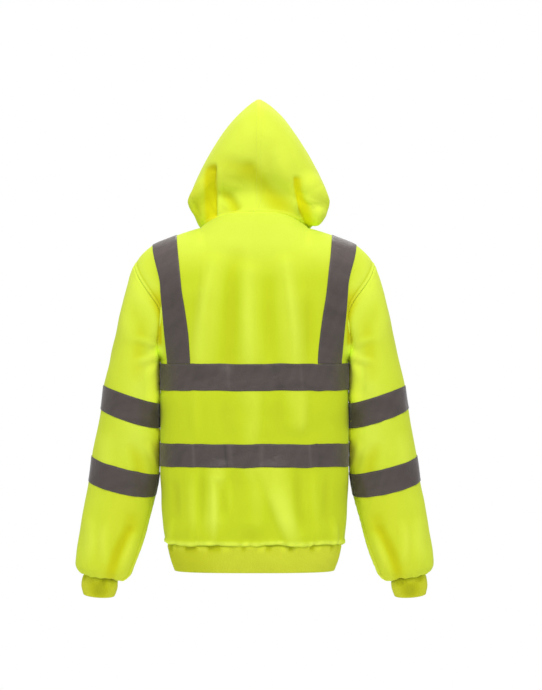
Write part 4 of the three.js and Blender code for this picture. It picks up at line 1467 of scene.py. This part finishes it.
# %% Folds of the hood
HOOD_FOLDS = table(
    FOLD,
    (1, -106, 60, -118, 26, 0, 40, 18, 0, 0.3),
    (1, -118, 12, -113, -14, 0, 28, 15, 0, 0.1),
    (1, 114, 62, 118, 24, 0, 32, 5, 0, 0.3),
    (1, -50, 120, -76, 60, 4, 26, 5, 0, 0.6),
    (1, 6, 96, -88, 10, 10, 27, -6, 0.2, 0.4),
    (1, 60, 112, 0, 96, 0, 24, -3, 0, 0.5),
    (1, 66, 50, 38, 24, -4, 17, -8, 0, 0.2),
    (1, 54, 70, 34, 66, 0, 14, 4, 0, 0.4),
)
HOOD_SLOTS = table(
    FOLD,
    (1, 80, 96, 79, 0, 0, 18, -12, 0.55, 0.1),
    (1, -80, 76, -101, -4, 4, 13, -9, -0.6, 0.35),
)
HOOD_CREASES = table(
    FOLD,
    (1, 68, 94, 69, 4, 0, 7, 2.6, 0, 0.5),
    (1, -72, 66, -94, 0, 4, 7, 2.6, 0, 0.5),
    (1, 98, 48, 86, 6, 0, 8, -3, 0, 1),
    (1, 122, 46, 108, 2, 0, 8, -2.6, 0, 1),
    (1, -122, 42, -112, 0, 3, 9, -3, 0, 1),
    (1, -106, 66, -104, 8, 2, 12, 3, 0, 1),
)
# Soft shadows painted into the hood's colour: centre, half sizes and tone; a negative tone paints a
# highlight.
HOOD_SHADOWS = table(
    "x z half_width half_height tone",
    (48, 92, 40, 24, 0.16),
    (4, 84, 44, 22, 0.16),
    (-56, 34, 34, 24, 0.3),
    (46, 16, 18, 16, 0.3),
    (112, 30, 15, 44, 0.5),
    (-84, 44, 12, 40, -0.15),
)
FACE_HEM = 24
HOOD_SWELL = (1.2, 60)
CROWN_SEAM = (6.0, 0.5, 0.5)
CROWN_GAP = 0.15
HOOD_INSIDE = (HOOD_LEAN, -25, 90)
print(len(HOOD_FOLDS["back"]) + len(HOOD_SLOTS["back"]), "large folds in the hood")


# %% The hood's colour fields and whole
def hood_shadows(points, normals):
    """Broad soft shadows painted on the hood's back, each a bell over an ellipse; a negative tone
    paints a highlight.
    """
    total = 0
    for spot in each_row(HOOD_SHADOWS):
        aside = (points[..., 0] - spot["x"]) / spot["half_width"]
        above = (points[..., 2] - spot["z"]) / spot["half_height"]
        total = total + spot["tone"] * bell(np.hypot(aside, above), 2)
    return total * smooth(3 * normals[..., 1])


def hood_tones(slots, depth, shadow, from_neck, height):
    """The two painted light fields of the hood. Painted crease shade lies in its slots, in troughs
    and in the soft painted shadows. Painted shade lies on the same, most at the tops of the slots,
    and the whole hood is painted a little lighter, with a painted highlight along the neck."""
    in_slot = smooth(-slots / 5)
    crease_shade = np.clip(0.05 + in_slot + 0.5 * np.clip(depth / 8, 0, 1) + 0.8 * shadow, 0, 1)
    slot_shade = 0.55 * smooth((height - 52) / 40) + 0.15 * smooth((50 - height) / 40)
    shade = np.clip(depth / 20, -0.3, 0.5) + in_slot * slot_shade
    return crease_shade, shade - 0.12 - 0.4 * bell(from_neck, 9) + shadow


def hood(arches, acrosses, way, seed):
    """Half of the hood with its folds and seams: its form, mirrored by way, leaning at the crown,
    with a grooved and topstitched centre seam and a doubled hem along the face edge."""
    arch, across = np.meshgrid(arches, acrosses, indexing="ij")
    points = hood_form(arch, across)
    lean = HOOD_LEAN * smooth(arch / 0.12) * smooth((points[..., 2] + 16) / 26)
    points[..., 0] = way * points[..., 0] + lean
    points[..., 2] += HOOD_LIFT
    normals, _ = normals_of(points, inside=HOOD_INSIDE)
    from_neck = arc_length(points, 0)
    to_face = from_neck[-1:] - from_neck
    to_crown = arc_length(points[:, ::-1], 1)[:, ::-1]
    slots = fold_rise(HOOD_SLOTS, points, normals)
    rise = slots + fold_rise(HOOD_FOLDS, points, normals)
    swell = HOOD_SWELL[0] * undulation(points, HOOD_SWELL[1], seed)
    rise += fold_rise(HOOD_CREASES, points, normals) + swell
    shadow = hood_shadows(points, normals)
    tones = hood_tones(slots, slots - rise, shadow, from_neck, points[..., 2])
    rise *= smooth(to_crown / 12) * smooth(from_neck / 8)
    rise += seam_rise(to_crown, *CROWN_SEAM)
    rise += 0.7 * smooth((FACE_HEM - to_face) / 3) - 0.6 * bell(to_face - FACE_HEM, 4)
    points = points + normals * rise[..., None]
    points[:, -1, 0] = lean[:, -1] + way * CROWN_GAP
    normals, _ = normals_of(points, inside=HOOD_INSIDE)
    return points, normals, tones


# %% The two halves
HOOD_CUT = (0.28, 0.42)
HOOD_CUT_AREA = 0.1
HOOD_TUCK = (4, 2.4)
CROWN_TUCK = (0.6, 6)
HOOD_ROWS = 165
HOOD_COLUMNS = 105
BESIDE_CROWN = 0.9985
STITCHED_AT = {"neck": 3.5, "face": FACE_HEM - 2, "crown": 4}
fine = np.linspace(0, 1, 500)
arches = even(fine, hood_form(fine, np.full_like(fine, 0.9)), HOOD_ROWS)
acrosses = even(fine, hood_form(np.full_like(fine, 0.55), fine), HOOD_COLUMNS)
acrosses = np.insert(acrosses, -1, BESIDE_CROWN)
for side, way, seed in (("left", 1, 71), ("right", -1, 83)):
    points, normals, tones = hood(arches, acrosses, way, seed)
    edges = (points, normals), last_row(points, normals), last_column(points, normals)
    lines = [inset(*edge, distance) for edge, distance in zip(edges, STITCHED_AT.values())]
    thread = sew(f"stitches_hood_{side}", lines, CLOTH / 2, YELLOW_THREAD)
    points, normals, tones = tuck(points, normals, tones, "first", *HOOD_TUCK)
    points, normals, *tones = [np.swapaxes(a, 0, 1) for a in (points, normals, *tones)]
    points, normals, tones = tuck(points, normals, tones, "first", *HOOD_TUCK)
    points, normals, tones = tuck(points, normals, tones, "last", *CROWN_TUCK)
    points, normals, *tones = [np.swapaxes(a, 0, 1) for a in (points, normals, *tones)]
    half = shell(f"hood_cloth_{side}", points, WALL, False, HOOD_INSIDE, normals, tones)
    cut = HOOD_CUT, "gathered", HOOD_CUT_AREA
    finish_cloth(half, f"hood_{side}", "fleece_yellow", FLEECE, *cut, sewn=[thread])

# %% [markdown]
# ## Light and floor
# The light is that of a white studio: an even white surround, and a large soft light above the back
# and above the front, which leave the folds just visible. A sun would throw hard shadows. To the
# camera the surround is pure white, but the light it casts on the cloth grows with height, so that
# what faces down is dimmer.

# %% Surround and lights
CAST = (0.3, 0.84)
world = bpy.data.worlds.new("studio")
bpy.context.scene.world = world
world.use_nodes = True
node = node_maker(world.node_tree)
white = {"Color": (1, 1, 1, 1)}
height = node("SeparateXYZ", {0: node("TexCoord").outputs["Generated"]}).outputs["Z"]
ends = {"From Min": -1, "From Max": 1, "To Min": CAST[0], "To Max": CAST[1]}
strength = node("MapRange", {"Value": height, **ends}).outputs[0]
cast = node("Background", {**white, "Strength": strength}).outputs[0]
seen = node("Background", {**white, "Strength": 1.0}).outputs[0]
to_camera = node("LightPath").outputs["Is Camera Ray"]
both = node("MixShader", {0: to_camera, 1: cast, 2: seen}).outputs[0]
node("OutputWorld", {"Surface": both})

LIGHT_SIZE = 1.8
LIGHT_POWER = 76
LIGHT_AIM = (0, 0, -0.25)
LIGHTS = {"above_behind": (-0.15, 3.5, 2.8), "above_front": (-0.25, -3.5, 2.8)}
for name, place in LIGHTS.items():
    data = bpy.data.lights.new(name, "AREA")
    data.size = LIGHT_SIZE
    data.energy = LIGHT_POWER
    lamp = bpy.data.objects.new(name, data)
    lamp.location = place
    aim = Vector(LIGHT_AIM) - Vector(place)
    lamp.rotation_euler = aim.to_track_quat("-Z", "Y").to_euler()
    bpy.context.collection.objects.link(lamp)
bpy.context.scene.view_settings.view_transform = "Standard"
print(len(LIGHTS), "lights")

# %% Floor
FLOOR_LEVEL = -1.45
FLOOR_RADIUS = 1.6
angles = np.linspace(0, 2 * math.pi, 96, endpoint=False)
ring = np.stack([np.cos(angles), np.sin(angles), 0 * angles], -1) * FLOOR_RADIUS
ring = ring + [0, 0, FLOOR_LEVEL]
floor_mesh = bpy.data.meshes.new("floor")
floor_mesh.from_pydata(ring.tolist(), [], [list(range(len(ring)))])
floor = bpy.data.objects.new("floor", floor_mesh)
material, node = new_material("pale floor")
surface(node, Base_Color=(0.85, 0.85, 0.85, 1), Roughness=0.9)
floor_mesh.materials.append(material)
bpy.context.collection.objects.link(floor)
